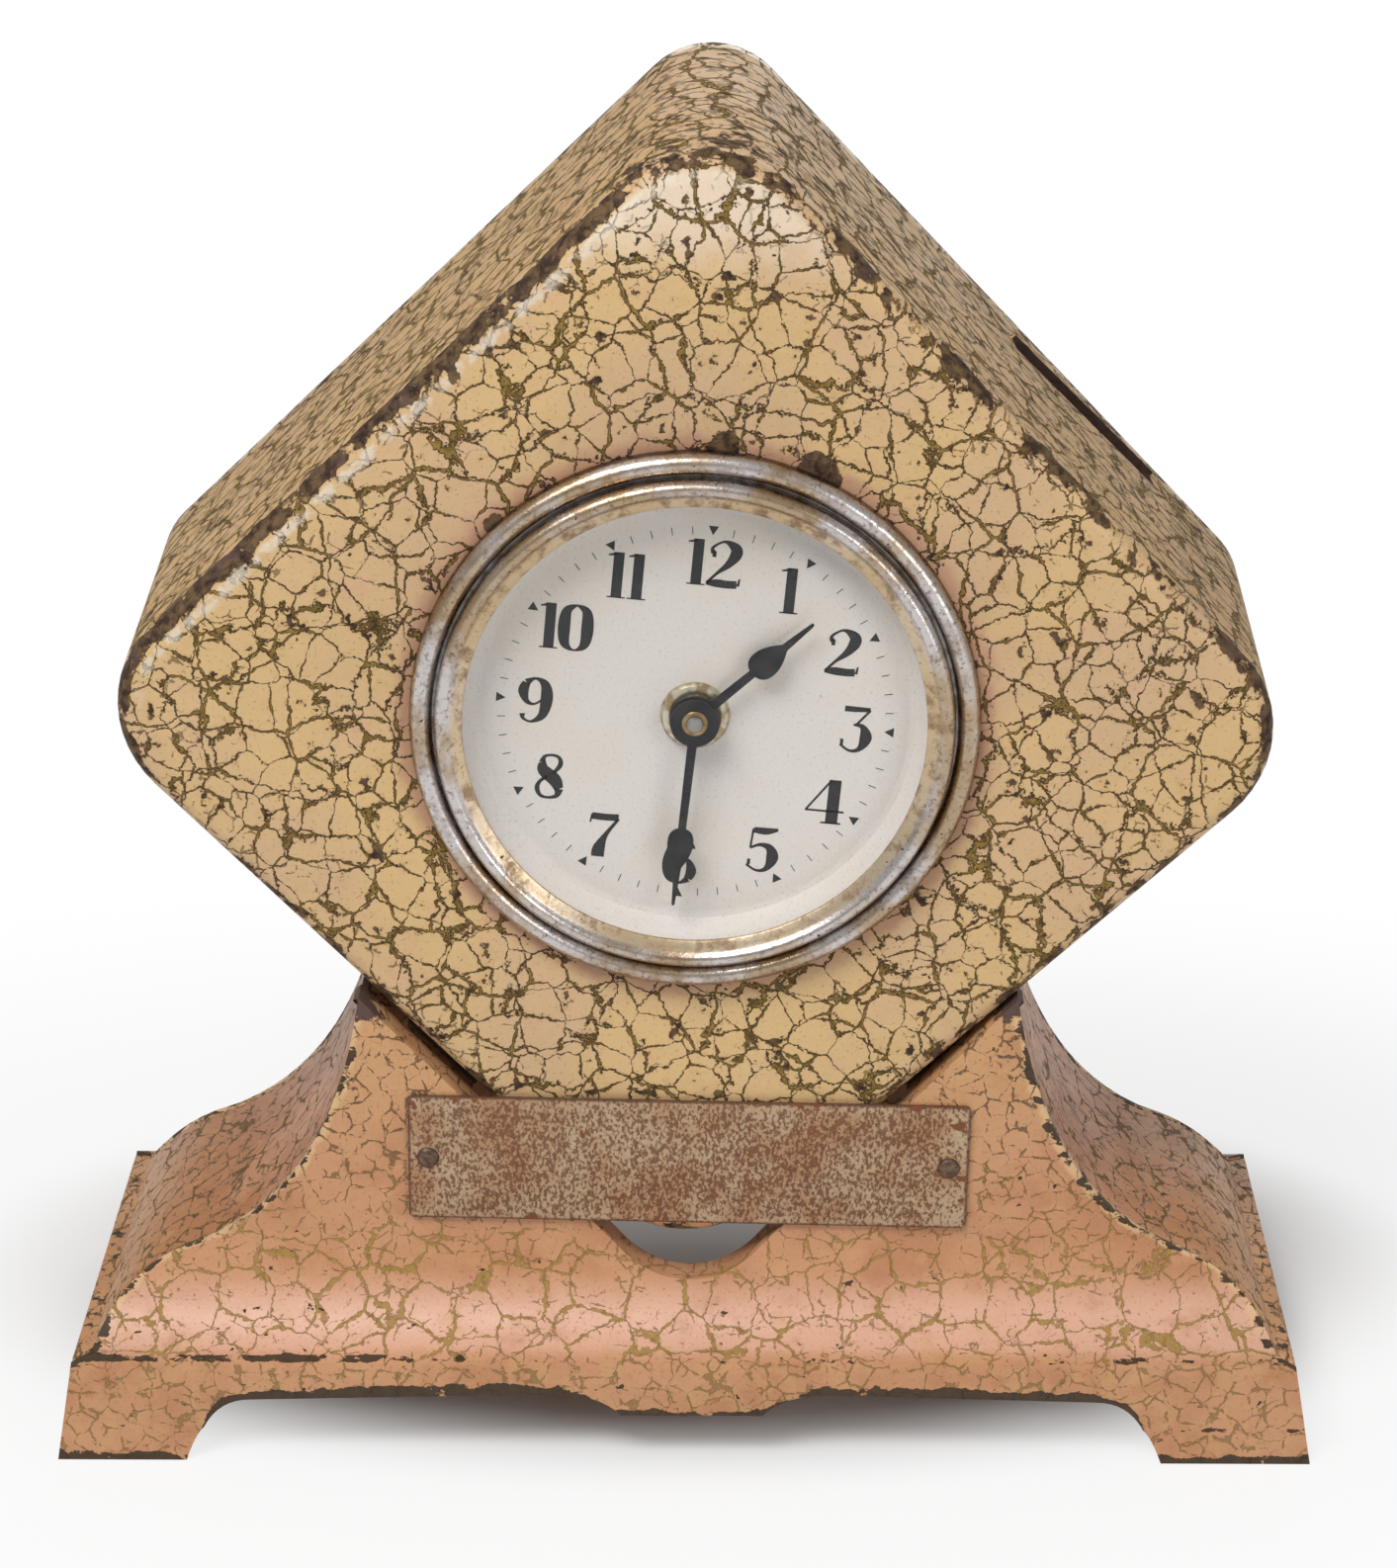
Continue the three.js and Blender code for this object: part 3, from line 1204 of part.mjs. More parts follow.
const CENTRE = new THREE.Vector2(0, 0);
const WINDING = windingPlace();
const THIRD = polar(centreDistance(CENTRE_MODULE, CENTRE_TEETH, THIRD_PINION_TEETH), THIRD_DIRECTION);
const fourthDistance = centreDistance(THIRD_MODULE, THIRD_TEETH, FOURTH_PINION_TEETH);
const FOURTH = polar(fourthDistance, FOURTH_DIRECTION).add(THIRD);
const escapeDistance = centreDistance(FOURTH_MODULE, FOURTH_TEETH, ESCAPE_PINION_TEETH);
const ESCAPE = polar(escapeDistance, ESCAPE_DIRECTION).add(FOURTH);
const LEVER = polar(LEVER_DISTANCE, LEVER_DIRECTION).add(ESCAPE);
const BALANCE = polar(BALANCE_DISTANCE, BALANCE_DIRECTION).add(LEVER);
const MOTION = polar(centreDistance(MOTION_MODULE, MINUTE_WHEEL_TEETH, CANNON_TEETH), MOTION_DIRECTION);

function placed(part, point) {
  part.position.set(point.x, 0, point.y);
  return part;
}

function layer(depth) {
  return PLATE_INNER + depth;
}

// Steel arbor with a thin pivot at each end, and its pinion
function pinionArbor(name, point, pinion, module, towards, depth) {
  const shape = pinionShape(pinion, module, directionOf(point, towards), ARBOR_RADIUS * 0.5);
  let arbor = alongY(shape, layer(depth - 0.6), layer(depth - 0.6) + PINION_LENGTH, 4);
  arbor = arbor.add(disc(ARBOR_RADIUS, PLATE_INNER + FIT, BACK_PLATE_FRONT - FIT, 0, 0, 8));
  arbor = arbor.add(disc(PIVOT_RADIUS, PLATE_FRONT, BACK_PLATE_BACK, 0, 0, 8));
  return placed(body(name, finishes.steel(), arbor), point);
}

function trainWheel(name, point, teeth, module, towards, depth) {
  const shape = wheelShape(teeth, module, directionOf(point, towards), ARBOR_RADIUS + FACE_GAP);
  const wheel = alongY(shape, layer(depth), layer(depth) + WHEEL_SHEET, 4);
  return placed(body(name, finishes.brass(), wheel), point);
}

// Movement plates and pillars

function pivotHoles() {
  return [THIRD, FOURTH, ESCAPE, LEVER, BALANCE].map((point) => ({ point, radius: PIVOT_RADIUS + FIT }));
}

function platedHoles(extra) {
  const pillars = PILLAR_ANGLES.map((angle) => ({
    point: polar(PILLAR_CIRCLE, angle),
    radius: PILLAR_END_RADIUS + FACE_GAP,
  }));
  return [...pivotHoles(), ...pillars, ...extra];
}

function plateShape(extra) {
  const shape = circleShape(PLATE_RADIUS, 0, 0, 24);
  for (const { point, radius } of platedHoles(extra)) {
    shape.holes.push(circleShape(radius, point.x, point.y, 8));
  }
  return shape;
}

function movementFrontPlate() {
  const extra = [
    { point: CENTRE, radius: CENTRE_SLEEVE_RADIUS + FIT },
    { point: WINDING, radius: WINDING_ARBOR_RADIUS + FIT },
    { point: MOTION, radius: PIVOT_RADIUS + FIT },
    ...dialFeet().map((point) => ({ point, radius: PIVOT_RADIUS * 2 + FIT })),
  ];
  const plate = alongY(plateShape(extra), PLATE_FRONT, PLATE_INNER, 6);
  return body('movement_front_plate', finishes.brass(), plate);
}

function movementBackPlate() {
  const extra = [
    { point: CENTRE, radius: CENTRE_SLEEVE_RADIUS + FIT },
    { point: WINDING, radius: WINDING_ARBOR_RADIUS + FIT },
  ];
  let plate = alongY(plateShape(extra), BACK_PLATE_FRONT, BACK_PLATE_BACK, 6);
  const stud = polar(HAIRSPRING_RADIUS + 0.9, HAIRSPRING_STUD_ANGLE).add(BALANCE);
  plate = plate.add(disc(0.6, layer(HAIRSPRING_LAYER), BACK_PLATE_FRONT + 0.5, stud.x, stud.y, 8));
  return body('movement_back_plate', finishes.brass(), plate);
}

function pillar(name, angle) {
  const back = CUP_BACK - CUP_SHEET - FACE_GAP;
  const outline = [
    [0, PLATE_FRONT - 0.4],
    [PILLAR_END_RADIUS, PLATE_FRONT - 0.4],
    [PILLAR_END_RADIUS, PLATE_INNER + FACE_GAP],
    [PILLAR_RADIUS, PLATE_INNER + FACE_GAP],
    [PILLAR_RADIUS, BACK_PLATE_FRONT - FACE_GAP],
    [PILLAR_END_RADIUS, BACK_PLATE_FRONT - FACE_GAP],
    [PILLAR_END_RADIUS, back],
    [0, back],
  ];
  return placed(body(name, finishes.steel(), turned(outline, 10)), polar(PILLAR_CIRCLE, angle));
}

// Winding side: main wheel, mainspring, ratchet, click, arbor and key

function mainWheel() {
  const direction = directionOf(WINDING, CENTRE);
  const shape = wheelShape(MAIN_TEETH, MAIN_MODULE, direction, WINDING_ARBOR_RADIUS + FACE_GAP);
  let wheel = alongY(shape, layer(MAIN_LAYER), layer(MAIN_LAYER) + MAIN_WHEEL_SHEET, 6);
  const stud = clickPlace();
  wheel = wheel.add(disc(0.6, layer(MAIN_LAYER) + 0.5, layer(RATCHET_LAYER) + 1, stud.x, stud.y, 8));
  return placed(body('main_wheel', finishes.brass(), wheel), WINDING);
}

// Click pivot, measured from the winding arbor
function clickPlace() {
  return polar(RATCHET_RADIUS + CLICK_OFFSET, CLICK_PIVOT_ANGLE);
}

function ratchetWheel() {
  const corners = [[RATCHET_RADIUS, 0], [RATCHET_RADIUS - RATCHET_TOOTH, RATCHET_TOOTH_STEP]];
  const shape = gearShape(RATCHET_TEETH, 0, WINDING_ARBOR_RADIUS + FACE_GAP, corners);
  const wheel = alongY(shape, layer(RATCHET_LAYER), layer(RATCHET_LAYER) + RATCHET_SHEET, 6);
  return placed(body('ratchet_wheel', finishes.steel(), wheel), WINDING);
}

// The click's beak stops just clear of the ratchet's tips, as when it rides over them
function click() {
  const pivot = clickPlace();
  const beak = polar(RATCHET_RADIUS + FIT, CLICK_BEAK_ANGLE);
  const shape = new THREE.Shape();
  const towards = beak.clone().sub(pivot);
  const side = new THREE.Vector2(-towards.y, towards.x).setLength(CLICK_HALF_WIDTH);
  const back = pivot.clone().sub(towards.clone().multiplyScalar(CLICK_TAIL_SHARE));
  const outer = beak.clone().sub(side.clone().multiplyScalar(CLICK_BEAK_SHARE));
  const corners = [back.clone().add(side), back.clone().sub(side), outer, beak];
  shape.setFromPoints(corners);
  shape.holes.push(circleShape(CLICK_PIN_RADIUS + FACE_GAP, pivot.x, pivot.y));
  const piece = alongY(shape, layer(RATCHET_LAYER), layer(RATCHET_LAYER) + CLICK_SHEET, 4);
  return placed(body('click', finishes.steel(), piece), WINDING);
}

// A flat ribbon wound as an even spiral, with a straight tail out to a last point
function ribbonSpiral(inner, outer, turns, sheet, steps, endDegrees, tail) {
  const outside = [];
  const inside = [];
  for (let index = 0; index <= turns * steps; index += 1) {
    const share = index / (turns * steps);
    const radius = inner + (outer - inner) * share;
    const degrees = endDegrees + share * turns * 360;
    outside.push(polar(radius + sheet / 2, degrees));
    inside.push(polar(radius - sheet / 2, degrees));
  }
  const across = tail.clone().normalize().multiplyScalar(sheet / 2);
  outside.push(tail.clone().add(across));
  inside.push(tail.clone().sub(across));
  return new THREE.Shape([...outside, ...inside.reverse()]);
}

// The spring's tail ends beside the first pillar, which its outer loop is hooked on
function mainspring() {
  const inner = WINDING_ARBOR_RADIUS + MAINSPRING_SHEET / 2 + FIT;
  const anchor = polar(PILLAR_CIRCLE, PILLAR_ANGLES[0]).sub(WINDING);
  const tail = anchor.clone().setLength(anchor.length() - PILLAR_RADIUS - FIT);
  const end = directionOf(CENTRE, anchor) - MAINSPRING_TAIL_ANGLE;
  const shape = ribbonSpiral(inner, MAINSPRING_RADIUS, MAINSPRING_TURNS, MAINSPRING_SHEET, 12, end, tail);
  const ribbon = alongY(shape, layer(SPRING_LAYER), layer(SPRING_LAYER) + MAINSPRING_WIDTH);
  return placed(body('mainspring', finishes.springSteel(), ribbon), WINDING);
}

function windingArbor() {
  let arbor = disc(WINDING_ARBOR_RADIUS, PLATE_FRONT, COVER_BACK, 0, 0, 12);
  const end = KEY_BACK - KEY_LENGTH + KEY_SOCKET - FIT;
  arbor = arbor.add(disc(KEY_SQUARE_RADIUS, COVER_BACK - COVER_SHEET, end, 0, 0, 4));
  return placed(body('winding_arbor', finishes.steel(), arbor), WINDING);
}

// Wing key: a round socket over the arbor's squared end and two flat wings
function windingKey() {
  const start = COVER_BACK + KNOB_CLEARANCE;
  let key = disc(KEY_STEM_RADIUS, start, start + KEY_STEM_LENGTH, 0, 0, 16);
  const neck = start + KEY_NECK_RISE;
  const shoulder = start + KEY_CORNER;
  const corner = KEY_HALF_SPAN - KEY_CORNER;
  const wing = new THREE.Shape();
  wing.moveTo(-KEY_NECK, neck);
  wing.lineTo(KEY_NECK, neck);
  wing.quadraticCurveTo(KEY_HALF_SPAN, shoulder, KEY_HALF_SPAN, KEY_BACK - KEY_CORNER);
  wing.quadraticCurveTo(KEY_HALF_SPAN, KEY_BACK, corner, KEY_BACK);
  wing.quadraticCurveTo(KEY_NECK, KEY_BACK, 0, KEY_BACK - KEY_NOTCH);
  wing.quadraticCurveTo(-KEY_NECK, KEY_BACK, -corner, KEY_BACK);
  wing.quadraticCurveTo(-KEY_HALF_SPAN, KEY_BACK, -KEY_HALF_SPAN, KEY_BACK - KEY_CORNER);
  wing.quadraticCurveTo(-KEY_HALF_SPAN, shoulder, -KEY_NECK, neck);
  const flat = { depth: KEY_WING, bevelEnabled: false, curveSegments: 5 };
  const geometry = new THREE.ExtrudeGeometry(wing, flat);
  geometry.translate(0, 0, -KEY_WING / 2);
  key = key.add(solid(geometry));
  key = key.subtract(disc(KEY_SQUARE_RADIUS + FACE_GAP, start - OVERRUN, start + KEY_SOCKET, 0, 0, 4));
  return placed(body('winding_key', finishes.steel(), key), WINDING);
}

// Centre: arbor with the cannon pinion and set knob, and the wheel that slips on it

function centreArbor() {
  const front = DIAL_FACE - MINUTE_HAND_RISE - HAND_SHEET - 0.6;
  const arbor = disc(CENTRE_ARBOR_RADIUS, front, COVER_BACK + KNOB_CLEARANCE + KNOB_LENGTH / 2, 0, 0, 12);
  return body('centre_arbor', finishes.steel(), arbor);
}

function centreSleeve() {
  const bore = CENTRE_ARBOR_RADIUS + FACE_GAP;
  const shape = pinionShape(CENTRE_PINION_TEETH, MAIN_MODULE, directionOf(CENTRE, WINDING), bore);
  let sleeve = alongY(shape, layer(MAIN_LAYER) - 0.3, layer(MAIN_LAYER) + MAIN_WHEEL_SHEET + 0.3, 4);
  const tube = circleShape(CENTRE_SLEEVE_RADIUS);
  tube.holes.push(circleShape(CENTRE_ARBOR_RADIUS + FACE_GAP));
  sleeve = sleeve.add(alongY(tube, layer(MAIN_LAYER) + 1.5, layer(CENTRE_LAYER) + 2, 6));
  return body('centre_pinion', finishes.steel(), sleeve);
}

function centreWheel() {
  const direction = directionOf(CENTRE, THIRD);
  const shape = wheelShape(CENTRE_TEETH, CENTRE_MODULE, direction, CENTRE_SLEEVE_RADIUS + FACE_GAP);
  const wheel = alongY(shape, layer(CENTRE_LAYER), layer(CENTRE_LAYER) + WHEEL_SHEET, 6);
  return body('centre_wheel', finishes.brass(), wheel);
}

function setKnob() {
  const start = COVER_BACK + KNOB_CLEARANCE;
  const shape = new THREE.Shape();
  const points = [];
  for (let flute = 0; flute < 2 * KNOB_FLUTES; flute += 1) {
    const radius = flute % 2 ? KNOB_RADIUS - KNOB_FLUTE_DEPTH : KNOB_RADIUS;
    points.push(polar(radius, (180 * flute) / KNOB_FLUTES));
  }
  shape.setFromPoints(points);
  let knob = alongY(shape, start + KNOB_COLLAR, start + KNOB_LENGTH);
  knob = knob.add(disc(KNOB_COLLAR_RADIUS, start, start + KNOB_COLLAR + 0.5, 0, 0, 18));
  const bottom = start + KNOB_LENGTH / 2 + FIT;
  knob = knob.subtract(disc(CENTRE_ARBOR_RADIUS + FACE_GAP, start - OVERRUN, bottom));
  return body('set_knob', finishes.brass(), knob);
}

// Motion work behind the dial, between it and the front plate

const MOTION_BACK = PLATE_FRONT - MOTION_PLAY;

function cannonPinion() {
  const direction = directionOf(CENTRE, MOTION);
  const shape = pinionShape(CANNON_TEETH, MOTION_MODULE, direction, CENTRE_ARBOR_RADIUS + FACE_GAP);
  let pinion = alongY(shape, MOTION_BACK - CANNON_TOOTH_LENGTH, MOTION_BACK + 0.1, 6);
  const tube = circleShape(CENTRE_ARBOR_RADIUS + CANNON_WALL);
  tube.holes.push(circleShape(CENTRE_ARBOR_RADIUS + FACE_GAP));
  pinion = pinion.add(alongY(tube, DIAL_FACE - HOUR_HAND_RISE - HAND_SHEET, MOTION_BACK, 6));
  return body('cannon_pinion', finishes.steel(), pinion);
}

function minuteWheel() {
  const towards = directionOf(MOTION, CENTRE);
  const wheelBack = MOTION_BACK - MINUTE_WHEEL_STANDOFF;
  const front = wheelBack - MINUTE_PINION_REACH;
  const shape = wheelShape(MINUTE_WHEEL_TEETH, MOTION_MODULE, towards, PIVOT_RADIUS * 0.9);
  let wheel = alongY(shape, wheelBack - MOTION_WHEEL_SHEET, wheelBack, 4);
  const pinion = pinionShape(MINUTE_PINION_TEETH, MOTION_MODULE, towards, PIVOT_RADIUS * 0.9);
  wheel = wheel.add(alongY(pinion, front, wheelBack - WHEEL_LAP, 4));
  wheel = wheel.add(disc(PIVOT_RADIUS, front, PLATE_INNER - FIT, 0, 0, PIVOT_SIDES));
  return placed(body('minute_wheel', finishes.brass(), wheel), MOTION);
}

function hourWheel() {
  const wheelBack = MOTION_BACK - HOUR_WHEEL_STANDOFF;
  const bore = CENTRE_ARBOR_RADIUS + CANNON_WALL + SEAM_GAP;
  const direction = directionOf(CENTRE, MOTION);
  const shape = wheelShape(HOUR_WHEEL_TEETH, MOTION_MODULE, direction, bore);
  let wheel = alongY(shape, wheelBack - MOTION_WHEEL_SHEET, wheelBack, 6);
  const tube = circleShape(HOUR_PIPE_RADIUS);
  tube.holes.push(circleShape(bore));
  const pipeFront = DIAL_FACE - HOUR_HAND_RISE - HAND_SHEET - 0.1;
  wheel = wheel.add(alongY(tube, pipeFront, wheelBack - WHEEL_LAP, 8));
  return body('hour_wheel', finishes.brass(), wheel);
}

// Escapement

function escapeWheel() {
  const root = ESCAPE_RADIUS - ESCAPE_TOOTH;
  const corners = [[ESCAPE_RADIUS, 0], [ESCAPE_RADIUS, 0.12], [root, 0.3], [root, 0.8]];
  const shape = gearShape(ESCAPE_TEETH, 0, ARBOR_RADIUS + FACE_GAP, corners);
  const wheel = alongY(shape, layer(ESCAPE_LAYER), layer(ESCAPE_LAYER) + ESCAPE_SHEET, 4);
  return placed(body('escape_wheel', finishes.brass(), wheel), ESCAPE);
}

// An arbor that turns between the two plates, with a pivot in each
function pivotedArbor() {
  const arbor = disc(ARBOR_RADIUS, PLATE_INNER + FIT, BACK_PLATE_FRONT - FIT, 0, 0, PIVOT_SIDES);
  return arbor.add(disc(PIVOT_RADIUS, PLATE_FRONT, BACK_PLATE_BACK, 0, 0, PIVOT_SIDES));
}

// Pin-pallet lever: an arm to each pallet pin, and a fork towards the balance staff
function palletLever() {
  const toEscape = directionOf(LEVER, ESCAPE);
  const toBalance = directionOf(LEVER, BALANCE);
  const wheelCentre = polar(LEVER_DISTANCE, toEscape);
  const pinCircle = ESCAPE_RADIUS + PALLET_PIN_RADIUS + PALLET_PIN_CLEARANCE;
  const from = layer(LEVER_LAYER);
  const middle = from + LEVER_SHEET / 2;
  const pinFront = layer(ESCAPE_LAYER) - PALLET_PIN_RUNOUT;
  let lever = disc(LEVER_BOSS_RADIUS, from, from + LEVER_SHEET, 0, 0, 12);
  for (const side of [-1, 1]) {
    const pin = polar(pinCircle, toEscape + 180 + side * PALLET_SPREAD).add(wheelCentre);
    const arm = new THREE.BoxGeometry(pin.length(), LEVER_SHEET, LEVER_ARM_WIDTH);
    arm.translate(pin.length() / 2, middle, 0);
    arm.rotateY(-Math.atan2(pin.y, pin.x));
    lever = lever.add(solid(arm));
    lever = lever.add(disc(PALLET_EYE_RADIUS, from, from + LEVER_SHEET, pin.x, pin.y, PIVOT_SIDES));
    lever = lever.add(disc(PALLET_PIN_RADIUS, pinFront, middle, pin.x, pin.y, PIVOT_SIDES));
  }
  const reach = BALANCE_DISTANCE - ARBOR_RADIUS - 2 * FIT;
  const fork = new THREE.BoxGeometry(reach, LEVER_SHEET, FORK_WIDTH);
  fork.translate(reach / 2, middle, 0);
  const notch = new THREE.BoxGeometry(2 * FORK_NOTCH_DEPTH, 2, FORK_NOTCH_WIDTH);
  notch.translate(reach, middle, 0);
  const waistLength = reach - FORK_HEAD_LENGTH;
  const waist = [-1, 1].map((side) => {
    const block = new THREE.BoxGeometry(waistLength, 2, FORK_WAIST_CUT);
    block.translate(waistLength / 2, middle, side * FORK_WAIST_OFFSET);
    return solid(block);
  });
  let tail = solid(fork).subtract(solid(notch)).subtract(waist[0]).subtract(waist[1]);
  tail = tail.rotate([0, -toBalance, 0]);
  lever = lever.add(tail);
  return placed(body('pallet_lever', finishes.steel(), lever.add(pivotedArbor())), LEVER);
}

function balanceWheel() {
  const from = layer(BALANCE_LAYER);
  const rim = circleShape(BALANCE_RADIUS, 0, 0, 24);
  rim.holes.push(circleShape(BALANCE_RADIUS - BALANCE_RIM, 0, 0, 24));
  let wheel = alongY(rim, from, from + BALANCE_RIM_DEPTH);
  const arms = rectangleShape(2 * BALANCE_RADIUS - BALANCE_RIM, BALANCE_ARM_WIDTH);
  wheel = wheel.add(alongY(arms, from, from + BALANCE_ARM_SHEET));
  wheel = wheel.add(disc(BALANCE_HUB_RADIUS, from, from + BALANCE_ARM_SHEET, 0, 0, 12));
  const bore = ARBOR_RADIUS + FACE_GAP;
  wheel = wheel.subtract(disc(bore, from - 1, from + BALANCE_RIM_DEPTH + 1, 0, 0, PIVOT_SIDES));
  return placed(body('balance_wheel', finishes.brass(), wheel), BALANCE);
}

// Balance staff with its roller; the impulse pin ends just behind the lever's fork
function balanceStaff() {
  const pinFront = layer(ROLLER_LAYER);
  const rollerFront = pinFront + IMPULSE_PIN_REACH;
  const rollerBack = rollerFront + ROLLER_SHEET;
  let staff = pivotedArbor().add(disc(ROLLER_RADIUS, rollerFront, rollerBack, 0, 0, 14));
  const pin = polar(IMPULSE_PIN_CIRCLE, directionOf(BALANCE, LEVER));
  staff = staff.add(disc(IMPULSE_PIN_RADIUS, pinFront, rollerFront + ROLLER_SHEET / 2, pin.x, pin.y, 6));
  return placed(body('balance_staff', finishes.steel(), staff), BALANCE);
}

function hairspring() {
  const inner = ARBOR_RADIUS + HAIRSPRING_SHEET / 2 + FIT;
  const tail = polar(HAIRSPRING_RADIUS, HAIRSPRING_STUD_ANGLE);
  const end = HAIRSPRING_STUD_ANGLE - HAIRSPRING_TAIL_ANGLE;
  const shape = ribbonSpiral(inner, HAIRSPRING_RADIUS, HAIRSPRING_TURNS, HAIRSPRING_SHEET, 10, end, tail);
  const ribbon = alongY(shape, layer(HAIRSPRING_LAYER), layer(HAIRSPRING_LAYER) + HAIRSPRING_WIDTH);
  return placed(body('hairspring', finishes.springSteel(), ribbon), BALANCE);
}

function regulator() {
  const from = BACK_PLATE_BACK + FACE_GAP;
  const shape = circleShape(REGULATOR_BOSS_RADIUS);
  const hole = circleShape(PIVOT_RADIUS + 2 * FIT);
  shape.holes.push(hole);
  let lever = alongY(shape, from, from + REGULATOR_SHEET, 6);
  const arm = new THREE.BoxGeometry(REGULATOR_LENGTH, REGULATOR_SHEET, REGULATOR_WIDTH);
  const armMiddle = REGULATOR_LENGTH / 2 + REGULATOR_BOSS_RADIUS - REGULATOR_LAP;
  arm.translate(armMiddle, from + REGULATOR_SHEET / 2, 0);
  arm.rotateY(-rad(directionOf(BALANCE, CENTRE) + REGULATOR_ANGLE));
  lever = lever.add(solid(arm));
  return placed(body('regulator', finishes.steel(), lever), BALANCE);
}

// Assembly

function stand() {
  const group = new THREE.Group();
  const rivets = rivetPoints();
  group.add(standPressing('stand_front', -1, rivets));
  group.add(standPressing('stand_back', 1, []));
  group.add(standSide('stand_side_left', -1));
  group.add(standSide('stand_side_right', 1));
  group.add(nameplate());
  group.add(nameplateRivet('nameplate_rivet_left', rivets[0]));
  group.add(nameplateRivet('nameplate_rivet_right', rivets[1]));
  for (const [word, side] of [['left', -1], ['right', 1]]) {
    group.add(saddleStrap(`saddle_strap_${word}`, side));
    group.add(seatPad(`seat_pad_${word}`, side));
    group.add(seatScrew(`seat_screw_${word}`, side));
  }
  return group;
}

function movement() {
  const group = new THREE.Group();
  group.add(movementCup(), trimRing(), glassBezel(), glass(), dial(), dialEyelet());
  group.add(movementFrontPlate(), movementBackPlate());
  PILLAR_ANGLES.forEach((angle, index) => group.add(pillar(`pillar_${index + 1}`, angle)));
  group.add(mainWheel(), mainspring(), ratchetWheel(), click(), windingArbor(), windingKey());
  group.add(centreArbor(), centreSleeve(), centreWheel(), setKnob());
  group.add(pinionArbor('third_arbor', THIRD, THIRD_PINION_TEETH, CENTRE_MODULE, CENTRE, CENTRE_LAYER));
  group.add(trainWheel('third_wheel', THIRD, THIRD_TEETH, THIRD_MODULE, FOURTH, THIRD_LAYER));
  group.add(pinionArbor('fourth_arbor', FOURTH, FOURTH_PINION_TEETH, THIRD_MODULE, THIRD, THIRD_LAYER));
  group.add(trainWheel('fourth_wheel', FOURTH, FOURTH_TEETH, FOURTH_MODULE, ESCAPE, FOURTH_LAYER));
  group.add(pinionArbor('escape_arbor', ESCAPE, ESCAPE_PINION_TEETH, FOURTH_MODULE, FOURTH, FOURTH_LAYER));
  group.add(escapeWheel(), palletLever(), balanceWheel(), balanceStaff(), hairspring(), regulator());
  group.add(cannonPinion(), minuteWheel(), hourWheel(), hourHand(), minuteHand(), minuteHandCollet());
  group.rotation.y = rad(MOVEMENT_TURN);
  group.position.z = MOVEMENT_RISE;
  return group;
}

caseFrame.add(caseShell(), backCover(), coinDoor(), hingePin(), coinLock());
for (let corner = 0; corner < 4; corner += 1) {
  caseFrame.add(coverScrew(`cover_screw_${corner + 1}`, corner));
}
caseFrame.add(movement());

const clock = new THREE.Group();
clock.add(stand(), caseFrame);
clock.position.y = -MIDDLE_Y;

export default clock;
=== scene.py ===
import json
import math

import bmesh
import bpy
from mathutils import Matrix, Vector


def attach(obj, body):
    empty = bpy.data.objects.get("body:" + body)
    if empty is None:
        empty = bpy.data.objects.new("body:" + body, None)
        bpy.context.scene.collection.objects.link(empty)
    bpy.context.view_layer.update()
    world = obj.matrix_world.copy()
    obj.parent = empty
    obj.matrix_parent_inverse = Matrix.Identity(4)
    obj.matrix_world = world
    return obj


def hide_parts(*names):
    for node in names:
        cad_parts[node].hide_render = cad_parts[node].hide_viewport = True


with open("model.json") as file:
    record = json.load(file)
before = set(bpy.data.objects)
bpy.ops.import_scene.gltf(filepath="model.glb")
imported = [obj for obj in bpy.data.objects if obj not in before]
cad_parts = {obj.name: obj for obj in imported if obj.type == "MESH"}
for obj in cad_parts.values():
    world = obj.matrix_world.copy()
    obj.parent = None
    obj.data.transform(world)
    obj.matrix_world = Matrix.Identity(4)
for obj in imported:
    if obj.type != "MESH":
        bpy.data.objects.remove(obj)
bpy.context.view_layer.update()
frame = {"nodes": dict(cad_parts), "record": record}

MM = 0.001


# Camera
# A long lens a little above the clock, looking down on it and almost square to the dial. Its
# place and turn come from a fit to the outline and to the marks round the dial.

VIEW_AZIMUTH = math.radians(0.858)
VIEW_ELEVATION = math.radians(22.556)
VIEW_ROLL = math.radians(-0.241)
VIEW_DISTANCE = 492.314
VIEW_TARGET = Vector((1.945, -8.7, 81.349))
SENSOR_WIDTH = 36
LENS = 99.97


def at(point, degrees=0, axis="Y"):
    """The place at a point in millimetres, turned round an axis."""
    return Matrix.Translation(Vector(point) * MM) @ Matrix.Rotation(math.radians(degrees), 4, axis)


forward = Vector((
    -math.sin(VIEW_AZIMUTH) * math.cos(VIEW_ELEVATION),
    math.cos(VIEW_AZIMUTH) * math.cos(VIEW_ELEVATION),
    -math.sin(VIEW_ELEVATION),
))
level = Vector((math.cos(VIEW_AZIMUTH), math.sin(VIEW_AZIMUTH), 0))
across = Matrix.Rotation(-VIEW_ROLL, 3, forward) @ level
upward = across.cross(forward)
lens = bpy.data.cameras.new("camera")
lens.sensor_fit = "HORIZONTAL"
lens.sensor_width = SENSOR_WIDTH
lens.lens = LENS
lens.clip_start = 0.01
camera = bpy.data.objects.new("camera", lens)
bpy.context.scene.collection.objects.link(camera)
turn = Matrix((across, upward, -forward)).transposed().to_4x4()
camera.matrix_world = at(VIEW_TARGET - forward * VIEW_DISTANCE) @ turn
bpy.context.scene.camera = camera
bpy.context.scene.view_settings.view_transform = "Standard"


# Studio
# Soft boxes above on the left, on the right and behind, in a room that looks white and gives
# less light than it seems to. The white floor keeps the shadow under the clock.


